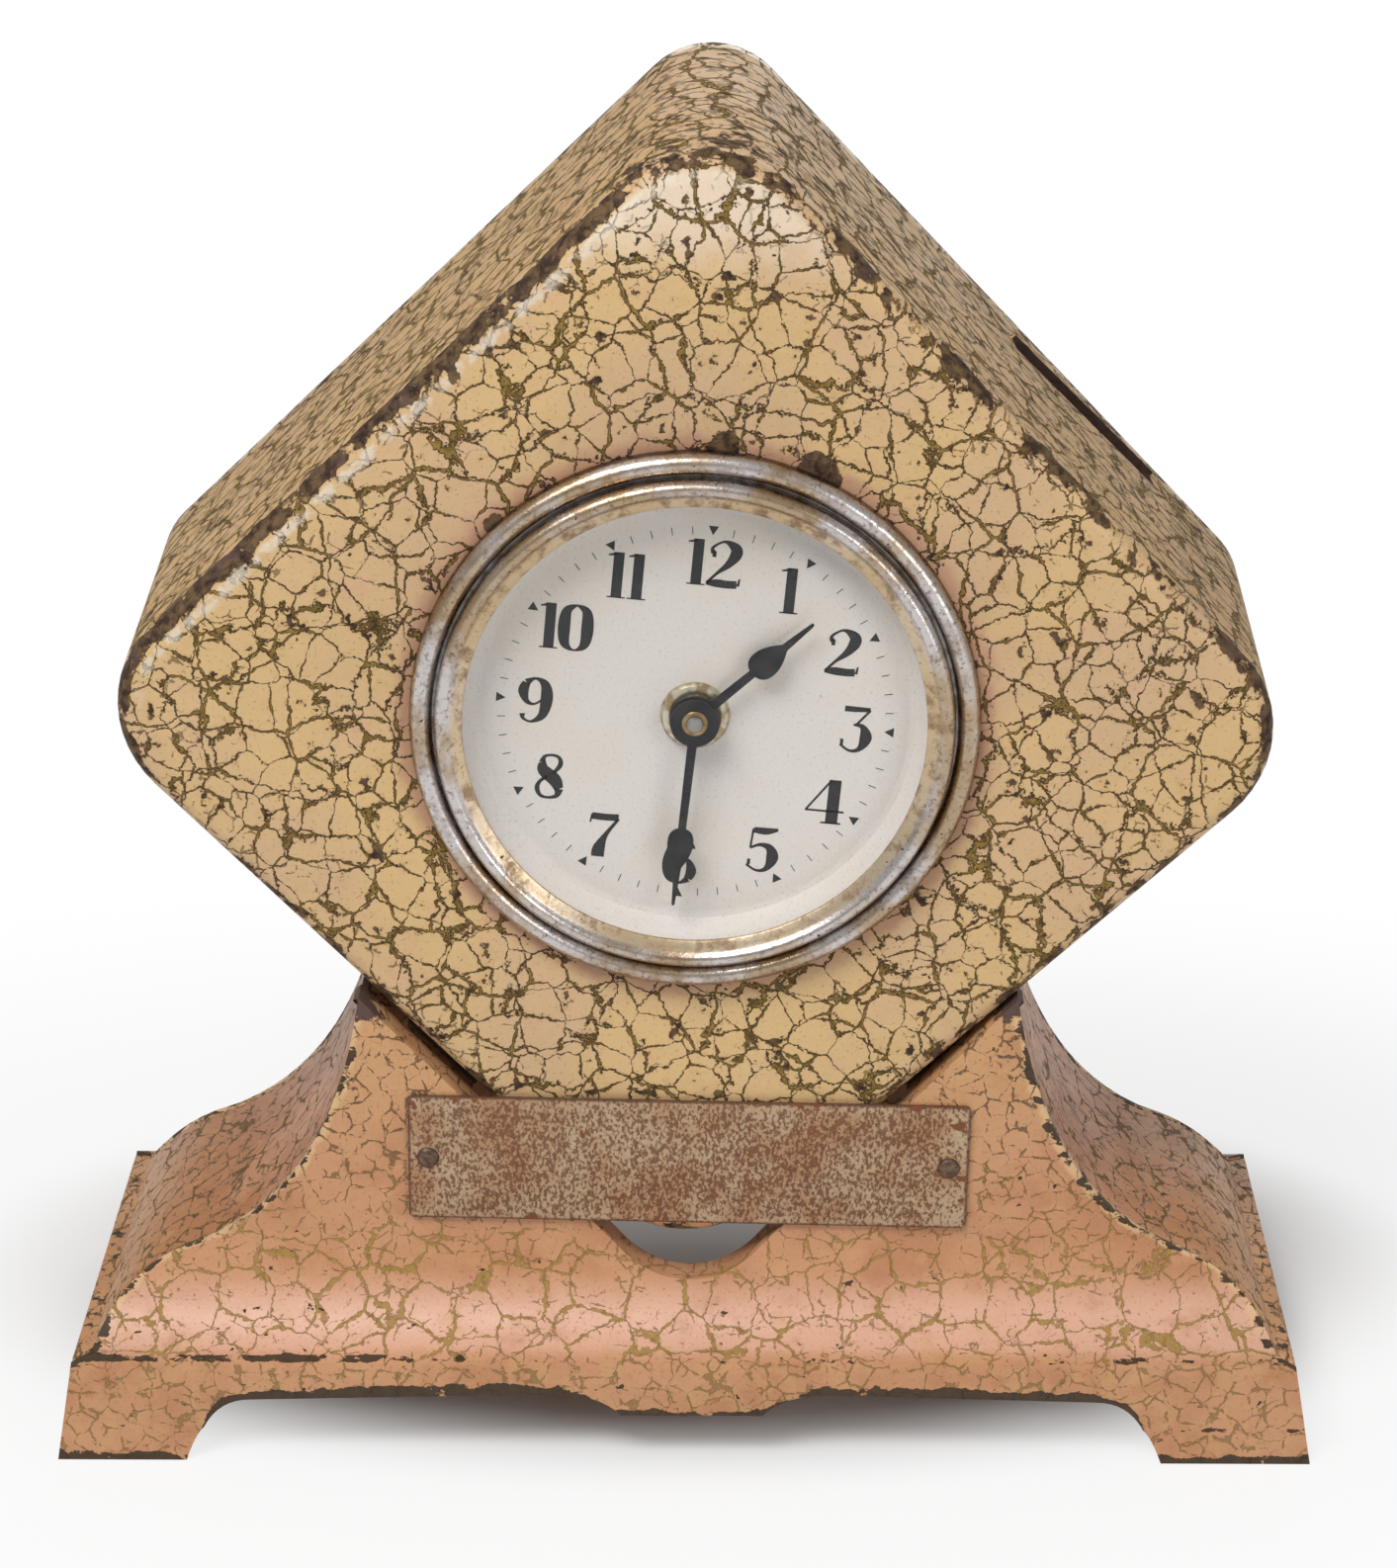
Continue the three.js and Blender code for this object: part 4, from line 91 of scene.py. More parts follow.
class Wire:
    """One socket of a material, so that sums on it read as plain arithmetic."""

    def __init__(self, finish, socket):
        self.finish = finish
        self.socket = socket

    def sum(self, operation, first, second):
        return self.finish.node("Math", {"operation": operation}, {0: first, 1: second})

    def __add__(self, other):
        return self.sum("ADD", self, other)

    def __radd__(self, other):
        return self.sum("ADD", other, self)

    def __sub__(self, other):
        return self.sum("SUBTRACT", self, other)

    def __rsub__(self, other):
        return self.sum("SUBTRACT", other, self)

    def __mul__(self, other):
        return self.sum("MULTIPLY", self, other)

    def __rmul__(self, other):
        return self.sum("MULTIPLY", other, self)

    def __abs__(self):
        return self.sum("ABSOLUTE", self, 0)

    def axis(self, letter):
        return self.finish.node("SeparateXYZ", {}, {0: self}, letter)

    def smooth(self, low, high):
        """0 at low and 1 at high, with a soft step between, whichever is the larger."""
        sockets = {"Value": self, "From Min": low, "From Max": high}
        return self.finish.node("MapRange", {"interpolation_type": "SMOOTHSTEP"}, sockets)

    def noise(self, size, detail=3, roughness=0.55, result="Fac"):
        """A noise in space whose swells are about this size in millimetres."""
        sockets = {"Vector": self, "Scale": 1 / size, "Detail": detail, "Roughness": roughness}
        return self.finish.node("TexNoise", {}, sockets, result)

    def patches(self, size, low, high, detail=2, roughness=0.55):
        """Soft patches where a noise rises from low to high."""
        return self.noise(size, detail, roughness).smooth(low, high)


class Finish:
    """A procedural material and the tree of nodes that it is made from."""

    def __init__(self, name, tree=None, **plain):
        if tree is None:
            self.material = bpy.data.materials.new(name)
            self.material.use_nodes = True
            tree = self.material.node_tree
            self.shader = tree.nodes["Principled BSDF"]
            self.output = tree.nodes["Material Output"]
            for socket, value in plain.items():
                self.shader.inputs[socket.replace("_", " ")].default_value = value
        self.tree = tree

    def node(self, kind, settings, sockets, result=0):
        made = self.tree.nodes.new("ShaderNode" + kind)
        for setting, value in settings.items():
            if setting == "points":
                curve = made.mapping.curves[0]
                for point in value[2:]:
                    curve.points.new(*point)
                for point, place in zip(curve.points, sorted(value)):
                    point.location = place
                made.mapping.update()
            else:
                setattr(made, setting, value)
        for socket, value in sockets.items():
            target = made.inputs[socket]
            if isinstance(socket, str):
                target = next((i for i in made.inputs if i.identifier == socket), target)
            self.feed(target, value)
        return Wire(self, made.outputs[result])

    def feed(self, target, value):
        if isinstance(value, Wire):
            self.tree.links.new(value.socket, target)
        else:
            target.default_value = value

    def set(self, **sockets):
        for socket, value in sockets.items():
            self.feed(self.shader.inputs[socket.replace("_", " ")], value)

    def surface(self, amount, first, second):
        """Makes the surface a mix of two shaders."""
        mixed = self.node("MixShader", {}, {0: amount, 1: first, 2: second})
        self.feed(self.output.inputs["Surface"], mixed)

    def place(self, origin=Matrix(), size=(1, 1, 1)):
        """Object coordinates in millimetres from an origin, shrunk by a size."""
        sockets = {
            "Vector": self.node("TexCoord", {}, {}, "Object"),
            "Location": origin.translation,
            "Rotation": origin.to_euler(),
            "Scale": Vector(size) * MM,
        }
        return self.node("Mapping", {"vector_type": "TEXTURE"}, sockets)

    def ray(self, kind):
        return self.node("LightPath", {}, {}, "Is " + kind + " Ray")

    def larger(self, first, *others):
        for other in others:
            first = self.node("Math", {"operation": "MAXIMUM"}, {0: first, 1: other})
        return first

    def smaller(self, first, second):
        return self.node("Math", {"operation": "MINIMUM"}, {0: first, 1: second})

    def mix(self, amount, first, second):
        return self.node("Mix", {"data_type": "RGBA"}, {0: amount, 6: first, 7: second}, 2)

    def coats(self, colour, *coats):
        """A colour with others laid over it, each as far as its mask reaches."""
        for mask, over in coats:
            colour = self.mix(mask, colour, over)
        return colour

    def bump(self, height):
        """The normal of a surface raised by a height in millimetres."""
        return self.node("Bump", {}, {"Strength": 1, "Distance": MM, "Height": height})


def paint(red, green, blue):
    """A colour as it is seen, each part from 0 to 255."""
    return (*(((part / 255 + 0.055) / 1.055) ** 2.4 for part in (red, green, blue)), 1)


WHITE = (1, 1, 1, 1)
ROOM_LIGHT = 0.24
ROOM_SHINE = 0.45
FLOOR_WHITE = 0.86
FLOOR_SIZE = 6
FLOOR_KEEP = 0.8
FLOOR_EDGE = (0.8, 1.25)
FLOOR_FADE = (1.1, 3.0)
FLOOR_SHADE = (88, 48)
FLOOR_BEHIND = 12
LAMP_AIM = Vector((0, 0, 0.07))
# Each lamp's place and size in metres, and its power
SOFT_BOXES = {
    "key": ((-0.26, -0.40, 0.74), (0.42, 0.30), 4.7),
    "fill": ((0.55, -0.62, 0.30), (0.35, 0.35), 1.4),
    "back": ((0.10, 0.75, 0.30), (0.50, 0.30), 1.3),
}

world = bpy.data.worlds.new("room")
bpy.context.scene.world = world
world.use_nodes = True
room = Finish("room", world.node_tree)
direct = room.larger(room.ray("Camera"), room.ray("Transmission"))
level_light = ROOM_LIGHT + room.ray("Glossy") * (ROOM_SHINE - ROOM_LIGHT)
backdrop = world.node_tree.nodes["Background"]
backdrop.inputs["Color"].default_value = WHITE
room.feed(backdrop.inputs["Strength"], direct + (1 - direct) * level_light)

for name, (spot, size, power) in SOFT_BOXES.items():
    lamp = bpy.data.lights.new(name, "AREA")
    lamp.shape = "RECTANGLE"
    lamp.size, lamp.size_y = size
    lamp.energy = power
    box = bpy.data.objects.new(name, lamp)
    bpy.context.scene.collection.objects.link(box)
    turn = (LAMP_AIM - Vector(spot)).to_track_quat("-Z", "Y")
    box.matrix_world = Matrix.Translation(spot) @ turn.to_matrix().to_4x4()

bpy.ops.mesh.primitive_plane_add(size=FLOOR_SIZE)
floor = bpy.context.object
floor.name = "floor"
ground = Finish("floor", Base_Color=(FLOOR_WHITE, FLOOR_WHITE, FLOOR_WHITE, 1), Roughness=1.0)
ground.set(Specular_IOR_Level=0)
under = ground.place(at((0, FLOOR_BEHIND, 0)), (*FLOOR_SHADE, 1))
far = ground.node("VectorMath", {"operation": "LENGTH"}, {0: under}, "Value")
near_part = far.smooth(*FLOOR_EDGE) * FLOOR_KEEP
far_part = far.smooth(*FLOOR_FADE) * (1 - FLOOR_KEEP)
looked_at = ground.larger(ground.ray("Camera"), ground.ray("Glossy"))
glow = ground.node("Emission", {}, {"Color": WHITE, "Strength": 1})
matt = Wire(ground, ground.shader.outputs["BSDF"])
ground.surface((near_part + far_part) * looked_at, matt, glow)
floor.data.materials.append(ground.material)


# Stand, four sheets
# A flared stand of thin sheet steel under thick crackled pink enamel: front, back and two
# sides that butt behind the front. Front and back have a V that the case sits in, with the
# sheet turned inwards along it, and an apron cut that leaves a foot at each corner.

SHEET = 1.0
PLINTH = ((30, 0), (28.5, 13.5))
COVE = ((28.5, 13.5), (20.5, 15), (19.2, 26))
ENDS = ((80, 0), (77.7, 13.5))
LEDGE = ((77.7, 13.5), (75.4, 14))
FLARE = ((75.4, 14), (71.4, 21.8), (64.5, 24.8))
PEAK_HEIGHT = 60.3
PEAK = {"left": 40.3, "right": 41.9}
PEAK_PULL = (4.5, 31.2)
STAND_TOP = 62.3
STAND_Y = -8.7
CRADLE = (0.8, 32.76)
CRADLE_RADIUS = 11.7
CRADLE_SLOPE = 47.5
CRADLE_LIP = 4.2
BUTT = SHEET + 0.15
FOLD = 0.7


def on_line(height, start, end):
    return start[0] + (end[0] - start[0]) * (height - start[1]) / (end[1] - start[1])


def on_curve(height, start, pull, end):
    """How far out a quadratic curve lies at a height."""
    bend = start[1] - 2 * pull[1] + end[1]
    slope = 2 * (pull[1] - start[1])
    share = (-slope + math.sqrt(slope * slope - 4 * bend * (start[1] - height))) / (2 * bend)
    rest = 1 - share
    return rest * rest * start[0] + 2 * rest * share * pull[0] + share * share * end[0]


def stand_front(height):
    if height <= COVE[0][1]:
        return on_line(height, *PLINTH)
    if height < COVE[2][1]:
        return on_curve(height, *COVE)
    return COVE[2][0]


def stand_side(height, peak):
    if height <= ENDS[1][1]:
        return on_line(height, *ENDS)
    if height <= LEDGE[1][1]:
        return on_line(height, *LEDGE)
    if height < FLARE[2][1]:
        return on_curve(height, *FLARE)
    if height < PEAK_HEIGHT:
        return on_curve(height, FLARE[2], (peak + PEAK_PULL[0], PEAK_PULL[1]), (peak, PEAK_HEIGHT))
    return peak


def alone(piece):
    bpy.ops.object.select_all(action="DESELECT")
    piece.select_set(True)
    bpy.context.view_layer.objects.active = piece


def edit(piece, kind="FACE"):
    alone(piece)
    bpy.ops.object.mode_set(mode="EDIT")
    bpy.ops.mesh.select_mode(type=kind)
    bpy.ops.mesh.select_all(action="SELECT")


def done():
    bpy.ops.object.mode_set(mode="OBJECT")


def pick(piece, parts, test):
    """Selects the faces, edges or vertices of the piece in edit mode that pass a test."""
    shape = bmesh.from_edit_mesh(piece.data)
    for part in getattr(shape, parts):
        part.select_set(bool(test(part)))
    shape.select_flush_mode()
    bmesh.update_edit_mesh(piece.data)


def modify(piece, kind, **settings):
    alone(piece)
    modifier = piece.modifiers.new(kind.lower(), kind)
    for setting, value in settings.items():
        setattr(modifier, setting, value)
    bpy.ops.object.modifier_apply(modifier=modifier.name)


def soften(piece, width, degrees, segments=2):
    """Rounds the edges that turn by more than an angle."""
    sharp = {"limit_method": "ANGLE", "angle_limit": math.radians(degrees)}
    modify(piece, "BEVEL", width=width * MM, segments=segments, **sharp)


def thicken(piece, thickness, **settings):
    """Makes a sheet as thick as it is, inwards from its outside."""
    settings = {"thickness": thickness * MM, "offset": -1, "use_even_offset": True, **settings}
    modify(piece, "SOLIDIFY", **settings)


def settle(piece, place=Matrix()):
    """Takes a piece to its place in the clock, with the place in its mesh."""
    alone(piece)
    piece.matrix_world = place @ piece.matrix_world
    bpy.ops.object.transform_apply(location=True, rotation=True, scale=True)


def smooth(piece, degrees=35):
    alone(piece)
    bpy.ops.object.shade_smooth_by_angle(angle=math.radians(degrees))


def copy_of(piece, name):
    alone(piece)
    bpy.ops.object.duplicate()
    twin = bpy.context.object
    twin.name = name
    return twin


def plate(name, outlines, front, back):
    """A flat piece cut to closed outlines of (x, z) points, from y front to y back."""
    flat = bpy.data.curves.new(name, "CURVE")
    flat.dimensions = "2D"
    flat.fill_mode = "BOTH"
    flat.extrude = (back - front) / 2 * MM
    for outline in outlines:
        line = flat.splines.new("POLY")
        line.points.add(len(outline) - 1)
        for point, (x, z) in zip(line.points, outline):
            point.co = (x * MM, z * MM, 0, 1)
        line.use_cyclic_u = True
    piece = bpy.data.objects.new(name, flat)
    bpy.context.scene.collection.objects.link(piece)
    alone(piece)
    bpy.ops.object.convert(target="MESH")
    piece = bpy.context.object
    piece.rotation_euler = (math.radians(90), 0, 0)
    piece.location = (0, (front + back) / 2 * MM, 0)
    settle(piece)
    edit(piece, "VERT")
    bpy.ops.mesh.remove_doubles(threshold=MM / 1000)
    bpy.ops.mesh.normals_make_consistent(inside=False)
    done()
    return piece


def cut(piece, cutter):
    modify(piece, "BOOLEAN", object=cutter, operation="DIFFERENCE", solver="EXACT")
    bpy.data.objects.remove(cutter)


def join(piece, other):
    modify(piece, "BOOLEAN", object=other, operation="UNION", solver="EXACT")
    bpy.data.objects.remove(other)


def finish_piece(piece, body, slot, material, *nodes):
    """Gives a finished piece its material and its body, and hides the nodes that it stands for."""
    piece.data.materials.clear()
    piece.data.materials.append(material)
    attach(piece, body)
    if nodes:
        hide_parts(*nodes)


def arc(centre, radius, start, end, steps):
    """Points of (x, z) round a centre, from one angle to another in degrees."""
    angles = (math.radians(start + (end - start) * step / steps) for step in range(steps + 1))
    return [(centre[0] + radius * math.cos(a), centre[1] + radius * math.sin(a)) for a in angles]


def cradle_outline(grow=0):
    """The V with its round bottom, open upwards, grown outwards by a distance."""
    bottom = arc(CRADLE, CRADLE_RADIUS + grow, -90 - CRADLE_SLOPE, -90 + CRADLE_SLOPE, 24)
    slope = math.radians(CRADLE_SLOPE)
    reach = 75
    across, up = reach * math.cos(slope), reach * math.sin(slope)
    left = (bottom[0][0] - across, bottom[0][1] + up)
    right = (bottom[-1][0] + across, bottom[-1][1] + up)
    return [left, *bottom, right]


def curve_points(start, pull, end, steps=8):
    """Points along a quadratic curve, without its start."""
    shares = ((step + 1) / steps for step in range(steps))
    return [
        tuple((1 - s) ** 2 * a + 2 * (1 - s) * s * b + s * s * c for a, b, c in zip(start, pull, end))
        for s in shares
    ]


DROP_X = 1.2
FEET = {"left": 63.5, "right": 61}
APRON = (9, 6.4, 11.8, 9.3, 17.5)
# The inner edge of a foot as two curves, each point so far in from the foot's corner and up
FOOT_CURVE = ((8.4, 8.4), (4.4, 8.4), (2.4, 4.6), (1.2, 3.5), (0, 0))
STAND_PLACE = at((0, STAND_Y, 0))


def apron_outline():
    """The cut between the front feet, with a shallow drop in its middle."""
    drop_half, drop_height, pull_x, apron, shoulder = APRON
    drop = ((drop_half, drop_height), (pull_x, apron), (shoulder, apron))
    halves = []
    for side, foot in ((1, FEET["right"]), (-1, FEET["left"])):
        middle = [(DROP_X + side * x, z) for x, z in drop]
        end = [(side * (foot - x), z) for x, z in FOOT_CURVE]
        line = [middle[0], *curve_points(*middle), end[0]]
        line += curve_points(*end[:3]) + curve_points(*end[2:]) + [(side * foot, -5)]
        halves.append(line)
    return halves[0] + halves[1][::-1]


def side_foot_outline():
    half = [(19, -5), (19, 0)]
    half += curve_points(half[-1], (18, 8.4), (12, 8.4))
    return half + [(-y, z) for y, z in reversed(half)]


levels = [0, 3, 6, 9, 12, 13.5, 14]
levels += [14 + 0.6 * step for step in range(1, 18)]
levels += [24.8, 26]
levels += [26 + 1.4 * step for step in range(1, 25)]
levels += [PEAK_HEIGHT, STAND_TOP]

bpy.ops.object.select_all(action="DESELECT")
bpy.ops.mesh.primitive_plane_add(size=1)
shell = bpy.context.object
shell.name = "stand_shell"
edit(shell, "EDGE")
bpy.ops.mesh.delete(type="ONLY_FACE")
bpy.ops.mesh.select_all(action="SELECT")
wide, deep, middle = 2 * ENDS[0][0] * MM, 2 * PLINTH[0][0] * MM, 0
bpy.ops.transform.resize(value=(wide, deep, 1), center_override=(0, 0, 0))
for below, height in zip(levels, levels[1:]):
    left, right = (stand_side(height, PEAK[side]) for side in ("left", "right"))
    rise = (height - below) * MM
    bpy.ops.mesh.extrude_edges_move(TRANSFORM_OT_translate={"value": (0, 0, rise)})
    new_wide, new_deep = (left + right) * MM, 2 * stand_front(height) * MM
    new_middle = (right - left) / 2 * MM
    grow = (new_wide / wide, new_deep / deep, 1)
    bpy.ops.transform.resize(value=grow, center_override=(middle, 0, 0))
    bpy.ops.transform.translate(value=(new_middle - middle, 0, 0))
    wide, deep, middle = new_wide, new_deep, new_middle
bpy.ops.mesh.select_all(action="SELECT")
bpy.ops.mesh.normals_make_consistent(inside=False)
done()


def wall(name, facing):
    """One sheet of the stand's shell, the one whose outside looks this way."""
    sheet = copy_of(shell, name)
    edit(sheet)
    other = 1 - facing[0]
    pick(sheet, "faces", lambda face: face.normal[facing[0]] * facing[1] < abs(face.normal[other]))
    bpy.ops.mesh.delete(type="FACE")
    done()
    return sheet


def pressed_sheet(name, side):
    """Front or back sheet: cut to its V and apron, and its edge turned in along the V."""
    sheet = wall(name, (1, side))
    cut(sheet, plate("cutter", [cradle_outline()], -45, 45))
    cut(sheet, plate("cutter", [apron_outline()], -45, 45))
    edit(sheet, "EDGE")
    bpy.ops.mesh.remove_doubles(threshold=MM / 1000)
    centre = Vector(CRADLE)
    slope = math.radians(CRADLE_SLOPE)

    def along_cradle(edge):
        x, z = ((end / MM) for end in ((edge.verts[0].co + edge.verts[1].co) / 2).xz)
        from_centre = Vector((abs(x - centre.x), z - centre.y))
        straight = from_centre.dot(Vector((math.sin(slope), -math.cos(slope))))
        if from_centre.x < CRADLE_RADIUS * math.sin(slope):
            straight = from_centre.length
        return edge.is_boundary and abs(straight - CRADLE_RADIUS) < 0.1 and z > CRADLE[1] - 13

    pick(sheet, "edges", along_cradle)
    for depth in (FOLD, CRADLE_LIP - FOLD):
        inward = (0, -side * depth * MM, 0)
        bpy.ops.mesh.extrude_edges_move(TRANSFORM_OT_translate={"value": inward})
    done()
    thicken(sheet, SHEET, use_quality_normals=True)
    soften(sheet, 0.28, 40, 3)
    settle(sheet, STAND_PLACE)
    smooth(sheet)
    return sheet


def side_sheet(name, side):
    """Side sheet: butted between front and back, and cut to its feet."""
    sheet = wall(name, (0, side))
    edit(sheet, "VERT")
    for end in (-1, 1):
        pick(sheet, "verts", lambda vert: vert.co.y * end > 0)
        bpy.ops.transform.translate(value=(0, -end * BUTT * MM, 0))
    done()
    feet_cutter = plate("cutter", [side_foot_outline()], -90, 90)
    settle(feet_cutter, at((0, 0, 0), 90, "Z"))
    cut(sheet, feet_cutter)
    cut(sheet, plate("cutter", [cradle_outline(SHEET + 0.2)], -45, 45))
    thicken(sheet, SHEET)
    soften(sheet, 0.2, 50)
    settle(sheet, STAND_PLACE)
    smooth(sheet)
    return sheet


def cracks(finish, place, cell, least, most):
    """How far outside the nearest crack in brittle paint a point lies, in millimetres.

    Half a crack's width wanders between least and most, and below nought the crack ends.
    """
    wander = place.noise(cell * 0.8, 5, 0.68, "Color")
    sockets = {0: wander, 1: (cell * 0.56,) * 3, 2: place}
    bent = finish.node("VectorMath", {"operation": "MULTIPLY_ADD"}, sockets)
    settings = {"feature": "DISTANCE_TO_EDGE"}
    sockets = {"Vector": bent, "Scale": 1 / cell, "Randomness": 0.88}
    edge = finish.node("TexVoronoi", settings, sockets, "Distance") * cell
    swell = place.patches(cell * 0.7, 0.38, 0.62)
    ragged = (place.noise(0.45, 2) - 0.5) * 0.3
    return edge - least - swell * (most - least) - ragged


# Cell size and least and most half width of each set of cracks, in millimetres
FRONT_CRACKS = ((5.8, 0.05, 0.2), (2.8, -0.02, 0.13))
SIDE_CRACKS = ((3.0, -0.02, 0.15), (1.6, -0.16, 0.1))
CRACK_DARK = paint(64, 44, 22)
CRACK_OLIVE = paint(122, 98, 44)
CRACK_OCHRE = paint(164, 132, 66)
BARE_BROWN = paint(58, 40, 32)
BARE_OLIVE = paint(84, 66, 42)
BARE_PURPLE = paint(96, 72, 66)
PINK = paint(202, 149, 110)
PINK_DEEP = paint(190, 134, 96)
PINK_YELLOW = paint(204, 158, 110)
PINK_COVE_SHEEN = paint(226, 178, 152)
STAND_BROWN = paint(168, 108, 66)
CREAM_EDGE = paint(228, 194, 144)
HIP_HEIGHTS = (0, 13.5, 14, 17, 20, 23, 24.8, 26, 29, 33, 38, 45, 52, STAND_TOP)
FRONT_HEIGHTS = (0, 13.5, 14, 15, 16.5, 18.5, 21, 26, STAND_TOP)


def reach_curve(finish, height, outline, heights):
    """How far out the stand's outline is at a height."""
    furthest = outline(0)
    points = [(level / STAND_TOP, outline(level) / furthest) for level in heights]
    share = finish.node("FloatCurve", {"points": points}, {"Value": height * (1 / STAND_TOP)})
    return share * furthest


def hip(height):
    return stand_side(height, (PEAK["left"] + PEAK["right"]) / 2)


def apron_curve(finish, across):
    """Height of the apron's cut edge at a place across the stand."""
    drop_half, drop_height, _, apron, shoulder = APRON
    reach = FEET["left"] + 4
    points = [(-reach, 0), (reach, 0)]
    for side, foot in ((1, FEET["right"]), (-1, FEET["left"])):
        points += [(side * (foot - x), z) for x, z in FOOT_CURVE[::2]]
        points += [(DROP_X + side * shoulder, apron), (DROP_X + side * drop_half, drop_height)]
    points = [((x / reach + 1) / 2, z / apron) for x, z in points]
    share = finish.node("FloatCurve", {"points": points}, {"Value": across * (0.5 / reach) + 0.5})
    return share * apron


def stand_enamel(name, is_side):
    """Pink crackled enamel. The sides are painted darker, a painted shade, and finely cracked."""
    enamel = Finish(name, Specular_IOR_Level=0.4)
    place = enamel.place(STAND_PLACE)
    x, y, height = (place.axis(letter) for letter in "XYZ")
    foot = height.smooth(14.2, 13.2)
    patch = place.noise(16, 3)
    mottle = place.noise(3.0, 4)
    if is_side:
        stretched = enamel.place(STAND_PLACE, (1.0, 1.5, 1.6))
        first, second = (cracks(enamel, stretched, *sizes) for sizes in SIDE_CRACKS)
        from_edge = reach_curve(enamel, height, stand_front, FRONT_HEIGHTS) - abs(y)
        from_apron = height + 5
        # Painted shade: the side sheets start from a darker brown than the front, and grow paler
        # towards their foot.
        colour = enamel.coats(
            STAND_BROWN,
            (patch.smooth(0.4, 0.62), PINK_DEEP),
            (height.smooth(32, 16) * 0.5, PINK_YELLOW),
        )
        edge_cream, golden, crease_wear = 0.25, 0.25, 0.1
    else:
        low = (height + (place.noise(14, 2) - 0.5) * 16).smooth(34, 22)
        coarse, second = (cracks(enamel, place, *sizes) for sizes in FRONT_CRACKS)
        first = coarse + (1 - low) * 0.16 + foot * 0.14
        second = second + low * (1 - foot) * (0.05 + first.smooth(0.6, 1.8) * 0.1)
        peak_shift = height.smooth(24, 60) * ((PEAK["right"] - PEAK["left"]) / 2)
        from_edge = reach_curve(enamel, height, hip, HIP_HEIGHTS) - abs(x - peak_shift)
        from_apron = height - apron_curve(enamel, x)
        upper = (height + (mottle - 0.5) * 20).smooth(34, 50)
        # Painted highlight: a paler band where the front's cove turns up towards the light above the
        # plinth.
        cove_sheen = height.smooth(13.2, 14.5) * height.smooth(23, 17)
        plinth = height.smooth(14.6, 13.8) * mottle.smooth(0.42, 0.62)
        colour = enamel.coats(
            PINK,
            (patch.smooth(0.38, 0.62), PINK_DEEP),
            (upper * 0.7, PINK_YELLOW),
            (cove_sheen * 0.85, PINK_COVE_SHEEN),
            (plinth * 0.4, PINK_YELLOW),
        )
        edge_cream, golden = 0.6, height.smooth(46, 28)
        crease_wear = x.smooth(-20, -48) * 0.16 + 0.08
    wide = first.smooth(0.06, -0.06)
    narrow = second.smooth(0.05, -0.05)

    edge_noise = (place.noise(2.6, 4) - 0.5) * 3
    pale_edge = (from_edge + edge_noise).smooth(1.4, 0.4) * height.smooth(13.5, 19)
    ochre = enamel.mix(golden, CRACK_DARK, CRACK_OCHRE)
    fleck = place.patches(0.8, 0.5, 0.62, 3)
    colour = enamel.coats(
        colour,
        (mottle.smooth(0.52, 0.72) * 0.45, PINK_YELLOW),
        (place.patches(7, 0.54, 0.72, 4, 0.6) * 0.35, STAND_BROWN),
        (place.patches(0.45, 0.6, 0.67, 2, 0.6) * 0.4, STAND_BROWN),
        (pale_edge * edge_cream, CREAM_EDGE),
        (wide * 0.92, enamel.mix(fleck * 0.6, ochre, CRACK_OLIVE)),
        (narrow * 0.75, enamel.mix(0.55, CRACK_DARK, ochre)),
    )

    chip_noise = enamel.place(STAND_PLACE, (1.7, 1, 1)).noise(1.9, 4, 0.62)
    at_edge = from_edge.smooth(1.7, 0.2) * height.smooth(11, 15)
    at_crease = abs(height - 13.7).smooth(0.32, 0.08)
    at_rim = (enamel.smaller(from_apron, height) + (mottle - 0.5) * 1.4).smooth(1.7, 0.3)
    at_foot_line = abs(height - 4.6).smooth(0.5, 0.1)
    at_foot_corner = from_edge.smooth(1.8, 0.2) * foot
    wear = at_edge * 0.2 + at_crease * crease_wear + at_rim * 0.34
    wear = wear + at_foot_line * 0.09 + at_foot_corner * 0.2
    dots = place.patches(1.5, 0.76, 0.775, 2, 0.4)
    at_peak = (height + (chip_noise - 0.5) * 12).smooth(57.4, 58.2)
    bare = enamel.larger((chip_noise + wear).smooth(0.69, 0.71), dots, at_peak)
    olive = (place.noise(1.6, 3), BARE_OLIVE)
    metal = enamel.coats(BARE_BROWN, olive, (at_peak * 0.8, BARE_PURPLE))

    grain = place.noise(0.6, 3)
    swell = place.noise(7, 2)
    lost = enamel.larger(wide, narrow * 0.7) * -0.12 + bare * -0.14
    enamel.set(
        Base_Color=enamel.mix(bare, colour, metal),
        Roughness=0.44 + wide * 0.35 + bare * 0.2 + (mottle - 0.5) * 0.3,
        Normal=enamel.bump(lost + grain * 0.06 + swell * 0.3),
    )
    return enamel.material


pressed_paint = stand_enamel("stand_enamel", False)
side_paint = stand_enamel("stand_side_enamel", True)
for name, side in (("stand_front", -1), ("stand_back", 1)):
    finish_piece(pressed_sheet(name + "_sheet", side), "clock", "stand_paint", pressed_paint, name)
for name, side in (("stand_side_left", -1), ("stand_side_right", 1)):
    finish_piece(side_sheet(name + "_sheet", side), "clock", "stand_paint", side_paint, name)
bpy.data.objects.remove(shell)


# Nameplate
# A strip of bare tin plate, a little crooked, with brown rust all over it in fine specks. It
# lies on the front of the stand across the V, and holds no words.

PLATE_SIZE = (70.9, 0.5, 17.3)
PLATE_CORNER = 0.7
PLATE_PLACE = at((0.75, -28.25, 37.7), 1.15)
TIN_GREY = paint(188, 162, 130)
TIN_WARM = paint(176, 134, 100)
RUST = paint(126, 74, 44)
RUST_DARK = paint(80, 48, 30)

